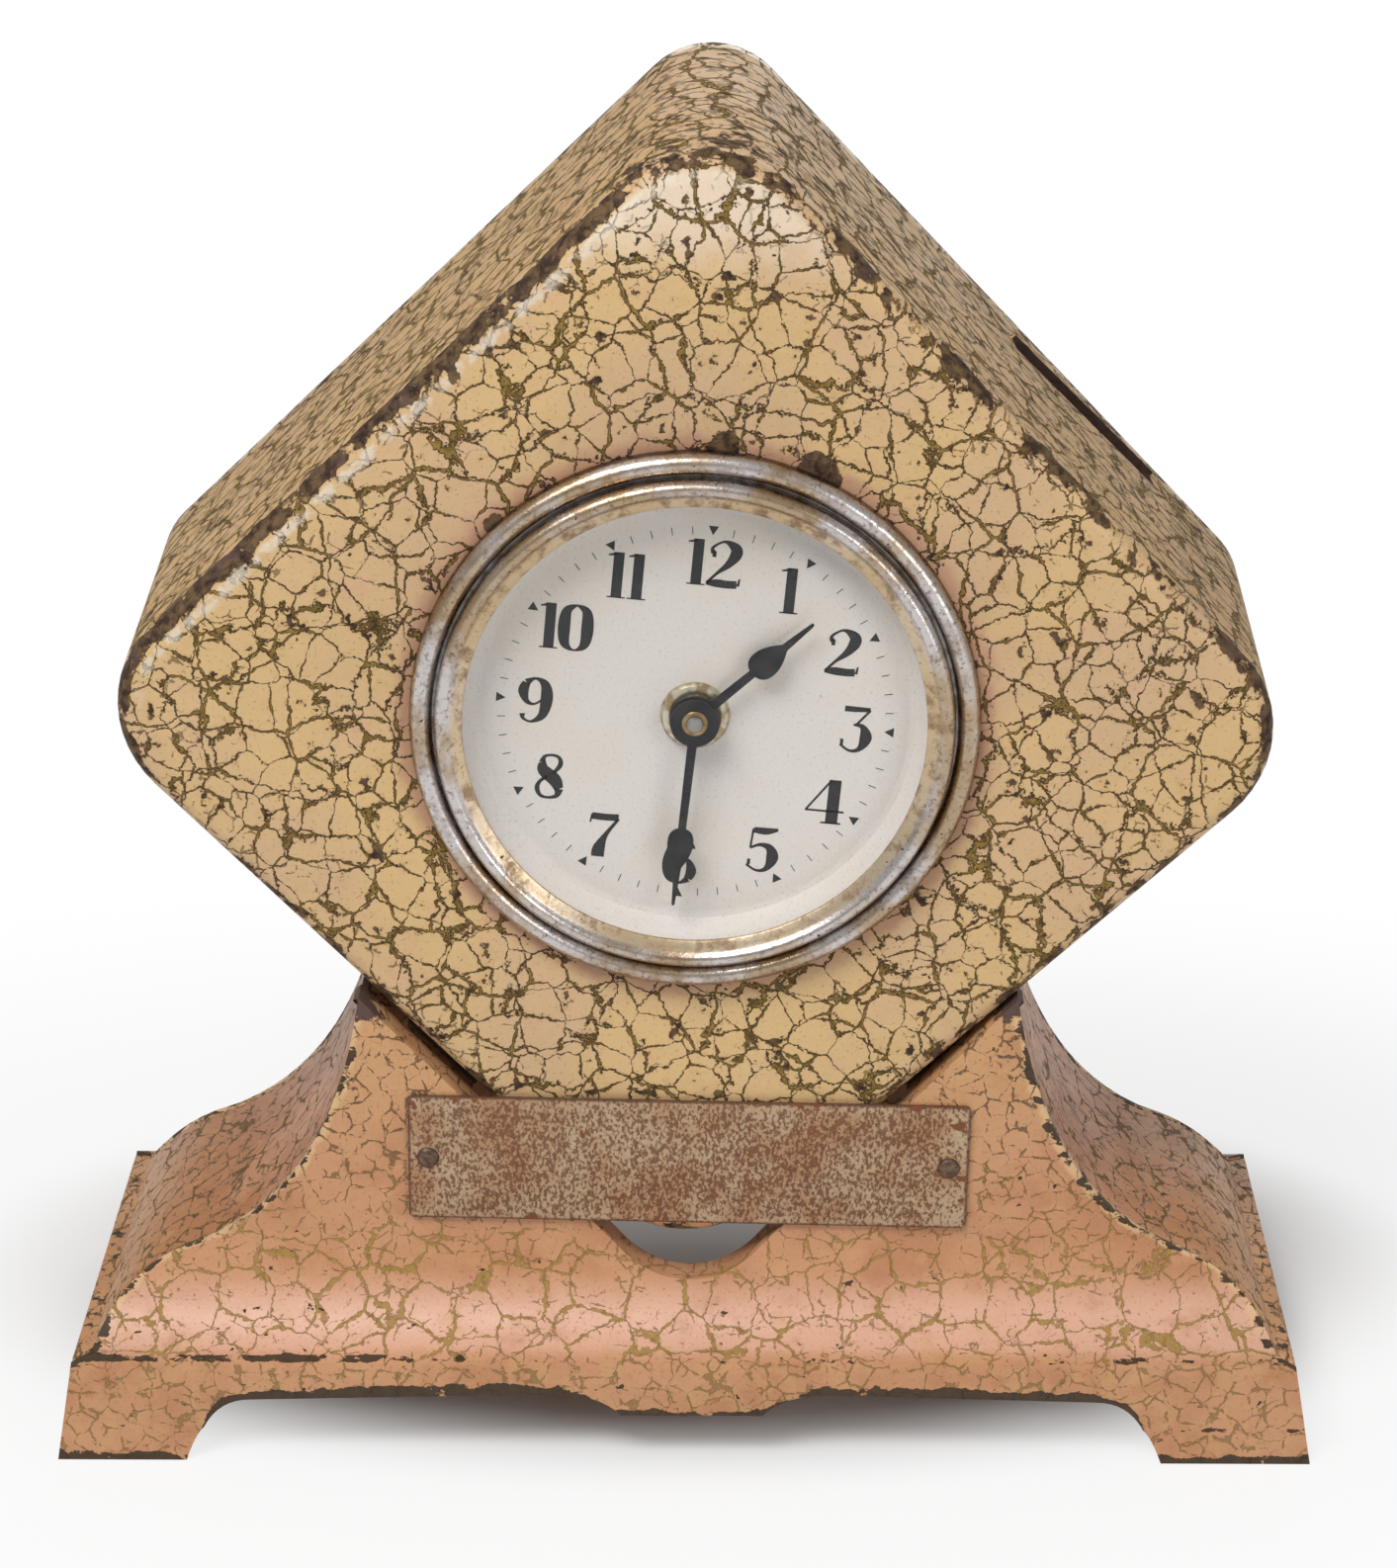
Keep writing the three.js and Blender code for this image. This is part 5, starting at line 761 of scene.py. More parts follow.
bpy.ops.object.select_all(action="DESELECT")
bpy.ops.mesh.primitive_cube_add(size=1)
nameplate = bpy.context.object
nameplate.name = "nameplate_tin"
nameplate.dimensions = Vector(PLATE_SIZE) * MM
settle(nameplate)
edit(nameplate, "EDGE")
pick(nameplate, "edges", lambda edge: abs((edge.verts[0].co - edge.verts[1].co).y) > 0.3 * MM)
bpy.ops.mesh.bevel(offset=PLATE_CORNER * MM, segments=4, affect="EDGES")
done()
soften(nameplate, 0.12, 60)
settle(nameplate, PLATE_PLACE)
smooth(nameplate)

tin = Finish("rusty_tin")
on_plate = tin.place(PLATE_PLACE)
half_wide, half_high = PLATE_SIZE[0] / 2, PLATE_SIZE[2] / 2
aside, updown = (abs(on_plate.axis(letter)) for letter in "XZ")
outward = tin.larger(aside * (1 / half_wide), updown * (1 / half_high))
spots = tin.place(PLATE_PLACE, (1, 1, 1.5)).noise(0.38, 3, 0.62)
cloud = on_plate.noise(9, 3)
rust_level = spots + (cloud - 0.5) * 0.12 - outward.smooth(0.78, 1) * 0.05
rusted = rust_level.smooth(0.43, 0.57)
border = tin.larger(aside - half_wide + 0.5, updown - half_high + 0.45).smooth(0, 0.35)
corner_rust = on_plate.noise(2.4, 4) + outward.smooth(0.8, 1) * 0.1
tin.set(
    Base_Color=tin.coats(
        TIN_GREY,
        (cloud.smooth(0.4, 0.65), TIN_WARM),
        (rusted * 0.85, tin.mix(on_plate.noise(1.1, 2), RUST_DARK, RUST)),
        (border * 0.8, RUST_DARK),
        (corner_rust.smooth(0.68, 0.72), RUST),
    ),
    Roughness=0.42 + rusted * 0.4,
    Metallic=0.4 - rusted * 0.35,
    Normal=tin.bump(rusted * -0.05 + spots * 0.04),
)
finish_piece(nameplate, "clock", "rusty_tin", tin.material, "nameplate")


# Nameplate rivets
# Two small steel rivets, browned with age. The left head sits deeper than the right one.

# Each rivet's place across and up, and how far its head stands out
RIVETS = {
    "nameplate_rivet_left": (-32.19, 38.36, 0.62),
    "nameplate_rivet_right": (33.69, 37.04, 0.8),
}
RIVET_RADIUS = 1.4
RIVET_FACE = -28.5


def ring(name, profile, sides=96, closed=True):
    """A piece turned round the Y axis from (radius, y) points."""
    radius, y = profile[0]
    bpy.ops.object.select_all(action="DESELECT")
    bpy.ops.mesh.primitive_circle_add(
        vertices=sides, radius=radius * MM, location=(0, y * MM, 0), rotation=(math.radians(90), 0, 0)
    )
    piece = bpy.context.object
    piece.name = name
    settle(piece)
    edit(piece, "EDGE")
    for new_radius, new_y in profile[1:]:
        bpy.ops.mesh.extrude_edges_move(TRANSFORM_OT_translate={"value": (0, (new_y - y) * MM, 0)})
        grow = new_radius / radius
        bpy.ops.transform.resize(value=(grow, 1, grow), center_override=(0, new_y * MM, 0))
        radius, y = new_radius, new_y
    bpy.ops.mesh.select_non_manifold(extend=False, use_wire=False, use_multi_face=False,
                                     use_non_contiguous=False, use_verts=False)
    if closed:
        bpy.ops.mesh.bridge_edge_loops()
    else:
        bpy.ops.mesh.fill_holes(sides=0)
    bpy.ops.mesh.select_all(action="SELECT")
    bpy.ops.mesh.normals_make_consistent(inside=False)
    done()
    return piece


def dome(radius, foot, top, steps=6):
    """Profile of a low domed head, from its foot to the middle of its top."""
    quarter = [math.radians(90 * step / steps) for step in range(steps)]
    return [(radius * math.cos(a), foot + (top - foot) * math.sin(a)) for a in quarter]


rivet_steel = Finish("rivet_steel", Metallic=0.75)
on_rivet = rivet_steel.place()
rivet_grain = on_rivet.noise(0.5, 3)
lighter = on_rivet.patches(0.8, 0.4, 0.62, 4)
rivet_steel.set(
    Base_Color=rivet_steel.mix(lighter, paint(88, 72, 60), paint(124, 100, 82)),
    Roughness=0.36 + rivet_grain * 0.3,
    Normal=rivet_steel.bump(rivet_grain * 0.06),
)
for name, (x, z, rise) in RIVETS.items():
    profile = [(0.9, 0.9), (0.9, 0.02), (RIVET_RADIUS, 0.0), (RIVET_RADIUS, -0.1)]
    profile += dome(RIVET_RADIUS, -0.1, -rise)[1:]
    rivet = ring(name + "_head", profile, 32, closed=False)
    settle(rivet, at((x, RIVET_FACE, z)))
    smooth(rivet, 50)
    finish_piece(rivet, "clock", "rivet_steel", rivet_steel.material, name)


# Case shell
# The case is one deep pressing: a square box with round corners, stood on one corner, whose
# front edge is rolled to a soft radius. It is finished in cream enamel that has crackled into
# cells and is worn to brown metal along its edges. A slot for coins is cut in its upper right
# wall, with the sheet turned up behind it.

CASE_CENTRE = (1.8, -0.5, 96.7)
CASE_LEAN = 1.55
CASE_SIDE = 107.7
CASE_DEPTH = 54
CORNER_FRONT = 14.5
CORNER_BACK = 10.5
CASE_FILLET = 2.6
CASE_SHEET = 0.9
DIAL_BORE = 31.2
DIAL_RISE = 0.5
SLOT_SIZE = (27, 3.2)
SLOT_PLACE = (15.15, -10.2 + 27, CASE_SIDE / 2)
SLOT_SKEW = 9

case_place = at(CASE_CENTRE, CASE_LEAN)
square_place = at(CASE_CENTRE, CASE_LEAN + 45)
slot_place = at(SLOT_PLACE, SLOT_SKEW, "Z")


def square_loop(name, y, corner):
    """A square sheet facing the front with round corners."""
    bpy.ops.object.select_all(action="DESELECT")
    bpy.ops.mesh.primitive_plane_add(
        size=CASE_SIDE * MM, location=(0, y * MM, 0), rotation=(math.radians(90), 0, 0)
    )
    sheet = bpy.context.object
    sheet.name = name
    settle(sheet)
    edit(sheet, "VERT")
    bpy.ops.mesh.bevel(offset=corner * MM, offset_type="OFFSET", segments=12, affect="VERTICES")
    done()
    return sheet


case_shell = square_loop("case_pressing", -CASE_DEPTH / 2, CORNER_FRONT)
case_back = square_loop("case_back", CASE_DEPTH / 2, CORNER_BACK)
edit(case_back)
bpy.ops.mesh.delete(type="ONLY_FACE")
done()
alone(case_shell)
case_back.select_set(True)
bpy.ops.object.join()
edit(case_shell, "EDGE")
pick(case_shell, "edges", lambda edge: edge.is_boundary or edge.is_wire)
bpy.ops.mesh.bridge_edge_loops()
pick(case_shell, "edges", lambda edge: max(v.co.y for v in edge.verts) < (0.1 - CASE_DEPTH / 2) * MM)
bpy.ops.mesh.bevel(offset=CASE_FILLET * MM, segments=8, affect="EDGES")
bpy.ops.mesh.select_all(action="SELECT")
bpy.ops.mesh.normals_make_consistent(inside=False)
done()
thicken(case_shell, CASE_SHEET)
bore = ring("cutter", [(DIAL_BORE, -40), (DIAL_BORE, -15)], 96, closed=False)
settle(bore, at((0, 0, 0), -45) @ at((0, 0, DIAL_RISE)))
cut(case_shell, bore)


def slot_bar(length, width, low, high, behind):
    """A bar with rounded ends that crosses the upper right wall at the slot."""
    half = length / 2 - width / 2
    outline = arc((half, 0), width / 2, -90, 90, 8) + arc((-half, 0), width / 2, 90, 270, 8)
    bar = plate("slot_bar", [outline], low, high)
    settle(bar, slot_place @ at((0, behind, 0), 90, "X"))
    return bar


join(case_shell, slot_bar(SLOT_SIZE[0] + 1, 0.9, -0.8, 0.6, 2.0))
cut(case_shell, slot_bar(*SLOT_SIZE, -5, 5, 0))
soften(case_shell, 0.15, 50)
settle(case_shell, square_place)
smooth(case_shell, 30)


def off_axis(finish, x, z):
    """Distance, seen from the front, from the point where x and z are nought."""
    flat = finish.node("CombineXYZ", {}, {0: x, 1: 0, 2: z})
    return finish.node("VectorMath", {"operation": "LENGTH"}, {0: flat}, "Value")


# Large chips at the edge of the trim ring: across, up and size
RING_CHIPS = ((14.2, 32.3, 2.7), (2.6, 35.8, 2.1), (-24.1, 25.2, 1.1))
# The coin door's leaf on the back cover: half its width, its foot and its top
DOOR_LEAF = (16.0, -55.7, -35.55)
# Cell size and least and most half width of each set of cracks
CASE_CRACKS = ((8.0, 0.06, 0.22), (4.8, 0.06, 0.2), (2.5, -0.4, 0.0))
CREAM = paint(214, 180, 128)
CREAM_DEEP = paint(208, 174, 134)
CREAM_YELLOW = paint(200, 162, 108)
CREAM_BLUSH = paint(214, 166, 138)
CREAM_LOW_SHADE = paint(208, 152, 112)
CREAM_WALL_SHADE = paint(206, 162, 104)
CREAM_SPECK = paint(160, 122, 80)
CREAM_HALO = paint(190, 142, 116)
CREAM_SCUFF_AND_SHEEN = paint(226, 214, 196)
CREAM_TOP_SHEEN = paint(246, 230, 210)
CREAM_STAIN = paint(150, 112, 72)
CRACK_YELLOW = paint(150, 122, 62)
BARE_YELLOW = paint(112, 88, 58)


def case_enamel(name):
    """Cream crackled enamel, worn along the edges of the case, with painted shade on the walls and
    bottom corner and painted highlights near the top.
    """
    enamel = Finish(name, Specular_IOR_Level=0.3)
    place = enamel.place(case_place)
    squared = enamel.place(square_place)
    x, y, z = (place.axis(letter) for letter in "XYZ")
    straight = CASE_SIDE / 2 - CORNER_FRONT
    u, v = (abs(squared.axis(letter)) - straight for letter in "XZ")
    in_corner = off_axis(enamel, enamel.larger(u, 0), enamel.larger(v, 0))
    rim = CORNER_FRONT - in_corner - enamel.smaller(enamel.larger(u, v), 0)
    behind = y + CASE_DEPTH / 2
    crease = rim - behind
    cover = behind.smooth(CASE_DEPTH - 2.4, CASE_DEPTH - 1.6)
    on_wall = crease.smooth(-1.5, -4) * (1 - cover)
    on_face = behind.smooth(6, 3)
    upper = z.smooth(-6, 10)
    left = x.smooth(10, -6)

    near_edge = (rim + (place.noise(8, 2) - 0.5) * 10).smooth(13, 3)
    big, middling, fine = (cracks(enamel, place, *sizes) for sizes in CASE_CRACKS)
    big = big + on_wall * 0.2
    middling = middling - on_wall * 0.12
    spur = enamel.smaller(big, middling).smooth(0.4, 1.2) * 0.1
    dense = enamel.larger(near_edge * 0.12, on_wall * 0.31)
    first = enamel.smaller(big, middling + 0.03)
    wide = first.smooth(0.06, -0.05)
    core = first.smooth(-0.05, -0.18)
    narrow = (fine + spur - dense).smooth(0.05, -0.05)

    mottle = place.noise(3.4, 4)
    from_dial = off_axis(enamel, x, z - DIAL_RISE)
    halo = (from_dial + (mottle - 0.5) * 5).smooth(37.4, 35.2) * on_face
    # A pale line just inside the upper left crease: partly scuffed paint, partly a painted highlight
    # where the rolled edge turns to the light.
    scuff_and_sheen_band = crease.smooth(1.4, 2.1) * crease.smooth(3.9, 2.7) * upper * left
    scuff_and_sheen = (place.noise(1.6, 4) + scuff_and_sheen_band * 0.16).smooth(0.5, 0.72) * scuff_and_sheen_band
    # Painted highlight: the face is painted paler near its top corner, just inside the rolled edge.
    sheen = (z + (mottle - 0.5) * 9).smooth(54, 64) * crease.smooth(0.6, 2.4)
    olive = enamel.mix(place.patches(1.3, 0.35, 0.65), CRACK_OLIVE, CRACK_YELLOW)
    colour = enamel.coats(
        CREAM,
        (place.patches(20, 0.38, 0.62, 3), CREAM_DEEP),
        (mottle.smooth(0.5, 0.7) * 0.5, CREAM_YELLOW),
        (place.patches(6, 0.58, 0.72, 3) * 0.35, CREAM_BLUSH),
        # Painted shade: the case is painted darker and warmer towards its bottom corner.
        (z.smooth(-46, -64) * 0.75, CREAM_LOW_SHADE),
        # Painted shade: the walls are painted darker and yellower than the face, as they turn away
        # from the light.
        (on_wall * 0.5, CREAM_WALL_SHADE),
        (place.patches(0.5, 0.6, 0.67, 2, 0.6) * 0.45, CREAM_SPECK),
        (halo * 0.75, CREAM_HALO),
        (wide, enamel.mix(core, CRACK_DARK, olive)),
        (narrow * 0.72, enamel.mix(0.5, CRACK_DARK, CRACK_OLIVE)),
        (scuff_and_sheen * 0.75, CREAM_SCUFF_AND_SHEEN),
        (sheen * 0.6 * (1 - wide), CREAM_TOP_SHEEN),
    )

    edge_line = abs(crease + 0.5).smooth(2.7, 1.0)
    rear_line = behind.smooth(CASE_DEPTH - 3, CASE_DEPTH - 0.3)
    rear_line = rear_line * rim.smooth(1.2, 0.8)
    chip_noise = place.noise(3.4, 5, 0.62)
    corners = abs(x).smooth(58, 68) * 0.05
    worn = edge_line * (upper * (0.115 + left * 0.105) + (1 - upper) * 0.13 + corners)
    apex = z.smooth(54, 68) * on_wall * behind.smooth(26, 8) * 0.075
    chips = chip_noise + worn + rear_line * 0.12 + apex
    hollows = place.noise(3.1, 4, 0.62) + halo * 0.05
    bare = enamel.larger(chips.smooth(0.62, 0.64), hollows.smooth(0.74, 0.755))
    for chip_x, chip_z, reach in RING_CHIPS:
        from_chip = off_axis(enamel, x - chip_x, z - chip_z) + (chip_noise - 0.5) * 5
        bare = enamel.larger(bare, from_chip.smooth(reach, reach - 0.25) * on_face)
    door_half, door_foot, door_top = DOOR_LEAF
    beside = abs(x) - door_half
    above = abs(z - (door_foot + door_top) / 2) - (door_top - door_foot) / 2
    door_edge = abs(enamel.larger(beside, above)).smooth(0.6, 0.25) * cover
    in_slot = enamel.place(square_place @ slot_place)
    reaches = zip("XYZ", (SLOT_SIZE[0] / 2, SLOT_SIZE[1] / 2, 3))
    from_slot = (abs(in_slot.axis(letter)) - reach for letter, reach in reaches)
    at_slot = enamel.larger(*from_slot).smooth(0.4, 0.15)
    bare = enamel.larger(bare, door_edge * 0.8, at_slot)
    metal = enamel.coats(
        BARE_BROWN,
        (place.patches(1.4, 0.36, 0.64, 3), BARE_YELLOW),
        (place.patches(4, 0.58, 0.66) * 0.6, BARE_PURPLE),
        (at_slot, BARE_BROWN),
    )
    stained = chips.smooth(0.57, 0.62) * enamel.larger(edge_line, rear_line) * 0.5

    grain = place.noise(0.6, 3)
    swell = place.noise(9, 2)
    lost = enamel.larger(wide, narrow * 0.7) * -0.14 + bare * -0.16
    enamel.set(
        Base_Color=enamel.coats(colour, (stained, CREAM_STAIN), (bare, metal)),
        Roughness=0.4 + wide * 0.4 + bare * 0.25 + on_wall * 0.2 + (mottle - 0.5) * 0.3,
        Normal=enamel.bump(lost + grain * 0.06 + swell * 0.4),
    )
    return enamel.material


case_paint = case_enamel("case_enamel")
finish_piece(case_shell, "clock", "case_paint", case_paint, "case_shell")


# Trim ring and bezel
# Two turned rings of nickel-plated brass. The trim ring covers the edge of the opening, and
# the bezel clips into it and holds the glass. The plating is pitted and stained with age.

MOVEMENT_TURN = 4.0
TRIM_RADIUS = 34.55
dial_place = case_place @ at((0, 0, DIAL_RISE), MOVEMENT_TURN)


def bead(middle, half, foot, top, steps=10):
    """Profile of a half-round bead: out, over the top and in again."""
    angles = [math.radians(180 * step / steps) for step in range(steps + 1)]
    return [(middle + half * math.cos(a), foot + (top - foot) * math.sin(a)) for a in angles]


def turned(name, profile, sides, slot, material, node, angle=35, body="clock", closed=True):
    """A finished turned piece on the axis of the dial, smooth up to an angle in degrees."""
    piece = ring(name, profile, sides, closed)
    settle(piece, dial_place)
    smooth(piece, angle)
    finish_piece(piece, body, slot, material, node)


def worn_nickel(name, cream_radius):
    """Bright plating with brown stain and black pits, creamy inside a radius."""
    nickel = Finish(name)
    place = nickel.place(dial_place)
    x, y, z = (place.axis(letter) for letter in "XYZ")
    radius = off_axis(nickel, x, z)
    fine = place.noise(0.6, 4, 0.65)
    pits = place.patches(0.9, 0.69, 0.73, 3, 0.6)
    cream = radius.smooth(cream_radius + 0.3, cream_radius - 0.2)
    worn = place.patches(2.4, 0.46, 0.66, 5, 0.66)
    foot = abs(radius - TRIM_RADIUS).smooth(0.5, 0.1) * y.smooth(-28.6, -28)
    colour = nickel.coats(
        paint(204, 198, 196),
        (place.patches(9, 0.4, 0.62, 4), paint(176, 154, 126)),
        (fine.smooth(0.52, 0.68) * 0.6, paint(104, 82, 64)),
        (cream * 0.7, paint(206, 182, 144)),
        ((0.35 + cream * 0.35) * worn, paint(120, 88, 58)),
        (foot * 0.7, paint(64, 46, 36)),
        (pits, paint(40, 30, 26)),
    )
    nickel.set(
        Base_Color=colour,
        Metallic=1 - pits * 0.8 - worn * 0.15,
        Roughness=0.17 + fine * 0.2 + worn * 0.12 + cream * 0.1 + pits * 0.4,
        Normal=nickel.bump(pits * -0.06 + fine * 0.035),
    )
    return nickel.material


trim_profile = [(TRIM_RADIUS, -27.1)] + bead(33.15, 1.4, -27.6, -29.4)
trim_profile += [(31.75, -27.4), (33.4, -27.3), (33.8, -27.1)]
turned("trim_ring_bead", trim_profile, 144, "chrome", worn_nickel("trim_nickel", 10), "trim_ring")

bezel_profile = [(28.05, -28.85), (28.1, -29.1), (28.3, -29.25), (28.9, -29.5), (29.3, -29.72)]
bezel_profile += bead(30.4, 1.05, -29.1, -30.4)[::-1][2:]
bezel_profile += [(31.45, -28.6), (31.45, -27.8), (30.1, -27.8), (30.1, -26.2), (29.6, -26.2)]
bezel_profile += [(29.6, -28.85)]
bezel_nickel = worn_nickel("bezel_nickel", 29.35)
turned("bezel_ring", bezel_profile, 144, "chrome", bezel_nickel, "glass_bezel")


# Glass
# A flat disc of clear glass, sprung into the bezel.

GLASS_SHINE = 0.012
glass_profile = [(29.2, -27.9), (29.4, -28.0), (29.4, -28.6), (29.2, -28.7)]
clear = Finish("clear_glass", Roughness=0.05)
facing = clear.node("LayerWeight", {}, {"Blend": 0.5}, "Facing")
edge_on = GLASS_SHINE + facing * facing * facing * facing * facing * 0.9
see_through = clear.node("BsdfTransparent", {}, {"Color": (0.995, 0.998, 0.997, 1)})
mirror = clear.node("BsdfGlossy", {}, {"Color": WHITE, "Roughness": 0.03})
clear.surface(edge_on * (1 - clear.ray("Shadow")), see_through, mirror)
turned("glass_disc", glass_profile, 96, "glass", clear.material, "glass", closed=False)


# Dial
# A shallow pan of sheet metal, silvered white and gone a little warm and spotted, with its
# rim turned forward to the glass. A turned eyelet lines the hole for the hands.

DIAL_FACE = -24.4
dial_profile = [(3.3, DIAL_FACE), (26.0, DIAL_FACE), (26.4, -24.5), (26.9, -24.75)]
dial_profile += [(29.0, -27.5), (29.2, -27.7), (29.35, -27.55), (27.1, -24.45)]
dial_profile += [(26.3, -24.05), (3.3, -24.0)]
silver = Finish("dial_silver")
on_dial = silver.place(dial_place)
haze = on_dial.noise(14, 3)
silver.set(
    Base_Color=silver.coats(
        paint(220, 213, 208),
        (haze.smooth(0.4, 0.62), paint(220, 211, 201)),
        (on_dial.patches(1.5, 0.7, 0.78, 4, 0.6) * 0.55, paint(176, 150, 112)),
        (on_dial.patches(0.4, 0.56, 0.7) * 0.4, paint(186, 172, 156)),
    ),
    Roughness=0.5 + haze * 0.1,
    Normal=silver.bump(on_dial.noise(0.5, 3) * 0.02),
)
turned("dial_pan", dial_profile, 128, "dial_paint", silver.material, "dial", 25)


def worn_metal(name, metallic, size, step, light, dark, rough, grain=0.4, raised=0.015):
    """A metal that is duller and darker in soft patches, with a fine grain."""
    metal = Finish(name, Metallic=metallic)
    place = metal.place()
    patch = place.noise(size, 4)
    metal.set(
        Base_Color=metal.mix(patch.smooth(*step), paint(*light), paint(*dark)),
        Roughness=rough[0] + patch * rough[1],
        Normal=metal.bump(place.noise(grain, 3) * raised),
    )
    return metal.material


brass = worn_metal("dull_brass", 0.9, 2.2, (0.4, 0.64), (176, 150, 104), (132, 104, 66), (0.3, 0.2))
eyelet_metal = worn_metal(
    "eyelet_metal", 0.85, 1.2, (0.4, 0.62), (206, 198, 176), (164, 140, 100), (0.28, 0.2), 0.4, 0.02
)
# Radius, and how far in front of the dial
EYELET = (
    (2.5, -0.3), (2.5, 0.5), (2.9, 0.75), (3.4, 0.8), (3.9, 0.7),
    (4.2, 0.35), (4.25, 0.03), (3.2, 0.03), (3.2, -0.3),
)
eyelet_profile = [(radius, DIAL_FACE - rise) for radius, rise in EYELET]
turned("eyelet_ring", eyelet_profile, 64, "brass", eyelet_metal, "dial_eyelet")


# Dial print
# Black figures from 1 to 12 with fat stems and hair lines, a small triangle at each hour and
# a short stroke at each minute, printed on the dial.

INK_FILM = 0.02
FIGURE_HEIGHT = 5.8
FIGURE_CIRCLE = 19.6
# The corners of a mark: how far from the middle of the dial, and how far sideways
HOUR_MARK = ((24.25, -0.62), (24.25, 0.62), (23.1, 0))
MINUTE_MARK = ((23.1, -0.05), (24.1, -0.05), (24.1, 0.05), (23.1, 0.05))

# Each figure is a list of strokes, and each stroke a list of points: across, up and width, in
# hundredths of the figure's height
FIGURE_STROKES = {
    "0": [[(0, 100, 3), (-15, 86, 15), (-18, 50, 20), (-15, 14, 15), (0, 0, 3), (15, 14, 15),
           (18, 50, 20), (15, 86, 15), (0, 100, 3)]],
    "1": [[(2, 0, 22), (2, 50, 22), (2, 100, 22)], [(-17, 1.5, 3), (2, 1.5, 3), (21, 1.5, 3)],
          [(-20, 93, 3), (-10, 95, 5), (0, 98.5, 4)]],
    "2": [[(-17, 72, 9), (-19, 84, 5), (-2, 98.5, 4.5), (15, 87, 17), (17, 72, 19), (7, 50, 12),
           (-10, 28, 5), (-24, 6, 5)], [(-25, 6, 6), (-10, 7, 13), (8, 6, 13), (22, 7, 13)],
          [(24, 4, 5), (26, 20, 2.5)], [(-19, 70, 10), (-13, 70, 10)]],
    "3": [[(-20, 95, 10), (0, 95, 9), (20, 96, 7)], [(20, 95, 4), (0, 60, 4)],
          [(-4, 60, 4), (10, 57, 9), (17, 33, 20), (9, 7, 9), (-6, 1, 4.5), (-22, 14, 4)],
          [(-22, 20, 10), (-17, 20, 10)]],
    "4": [[(12, 0, 20), (12, 50, 20), (12, 100, 20)], [(-5, 1.2, 3), (27, 1.2, 3)],
          [(6, 99, 3.5), (-30, 28, 3.5)], [(-31, 28, 3.5), (30, 28, 3.5)]],
    "5": [[(-15, 94, 10), (5, 93, 12), (23, 98, 5)], [(-16, 97, 3.5), (-18, 52, 3.5)],
          [(-18, 52, 4), (-3, 61, 6), (12, 55, 13), (18, 33, 20), (10, 7, 9), (-5, 1, 4.5),
           (-22, 13, 4)], [(-21, 20, 10), (-16, 20, 10)]],
    "6": [[(17, 82, 10), (15, 93, 5), (2, 98.5, 4.5), (-14, 82, 14), (-19, 45, 20),
           (-15, 14, 15), (0, 1.5, 4.5), (14, 12, 13)],
          [(14, 12, 13), (18, 31, 17), (12, 53, 9), (0, 59, 4), (-13, 47, 4)]],
    "7": [[(-20, 93, 12), (0, 92, 12), (22, 93, 12)], [(-20, 97, 3), (-22, 78, 3)],
          [(22, 90, 5), (4, 52, 8), (-5, 20, 20), (-6, 0, 21)]],
    "8": [[(-13, 80, 12), (-10, 63, 20), (8, 43, 22), (16, 23, 15)],
          [(-13, 80, 12), (-10, 94, 5.5), (2, 98.5, 4.5), (13, 93, 6), (15, 77, 8), (5, 57, 5)],
          [(-3, 51, 5), (-15, 36, 6), (-18, 20, 8), (-12, 5, 6), (0, 1.5, 4.5), (13, 7, 8),
           (16, 23, 15)]],
}
ROUND_STRETCH = 1.35
ROUND_WEIGHT = 1.3
PAIR_SPREAD = {"10": 56, "11": 42, "12": 57}


def stroke_outline(points, steps=7):
    """The outline of a stroke drawn smoothly through points that each have a width."""
    padded = [points[0], *points, points[-1]]
    line = []
    for first, second, third, fourth in zip(padded, padded[1:], padded[2:], padded[3:]):
        for step in range(steps):
            t = step / steps
            line.append(tuple(
                0.5 * (2 * b + (c - a) * t + (2 * a - 5 * b + 4 * c - d) * t * t
                       + (3 * b - a - 3 * c + d) * t ** 3)
                for a, b, c, d in zip(first, second, third, fourth)
            ))
    line.append(points[-1])
    left, right = [], []
    for before, here, after in zip([line[0]] + line, line, line[1:] + [line[-1]]):
        along = Vector((after[0] - before[0], after[1] - before[1])).normalized()
        out = Vector((-along.y, along.x)) * here[2] / 2
        left.append((here[0] + out.x, here[1] + out.y))
        right.append((here[0] - out.x, here[1] - out.y))
    return left + right[::-1]


def figure_outlines(text, centre):
    """The outlines of an upright number about a centre, in millimetres."""
    unit = FIGURE_HEIGHT / 100
    outlines = []
    for place, digit in enumerate(text):
        shift = (place - (len(text) - 1) / 2) * PAIR_SPREAD.get(text, 0)
        stretch, weight = (1, 1) if digit == "1" else (ROUND_STRETCH, ROUND_WEIGHT)
        for stroke in FIGURE_STROKES["6" if digit == "9" else digit]:
            if digit == "9":
                stroke = [(-across, 100 - up, width) for across, up, width in stroke]
            stroke = [(across * stretch, up, width * weight) for across, up, width in stroke]
            outlines.append([
                (centre[0] + (x + shift) * unit, centre[1] + (z - 50) * unit)
                for x, z in stroke_outline(stroke)
            ])
    return outlines


def clock_point(radius, hours, sideways=0):
    """A point of the dial at a radius and an hour, moved sideways along the circle."""
    angle = math.radians(30 * hours)
    x, z = radius * math.sin(angle), radius * math.cos(angle)
    return (x + sideways * math.cos(angle), z - sideways * math.sin(angle))


def mark_outline(corners, hours):
    return [clock_point(radius, hours, sideways) for radius, sideways in corners]


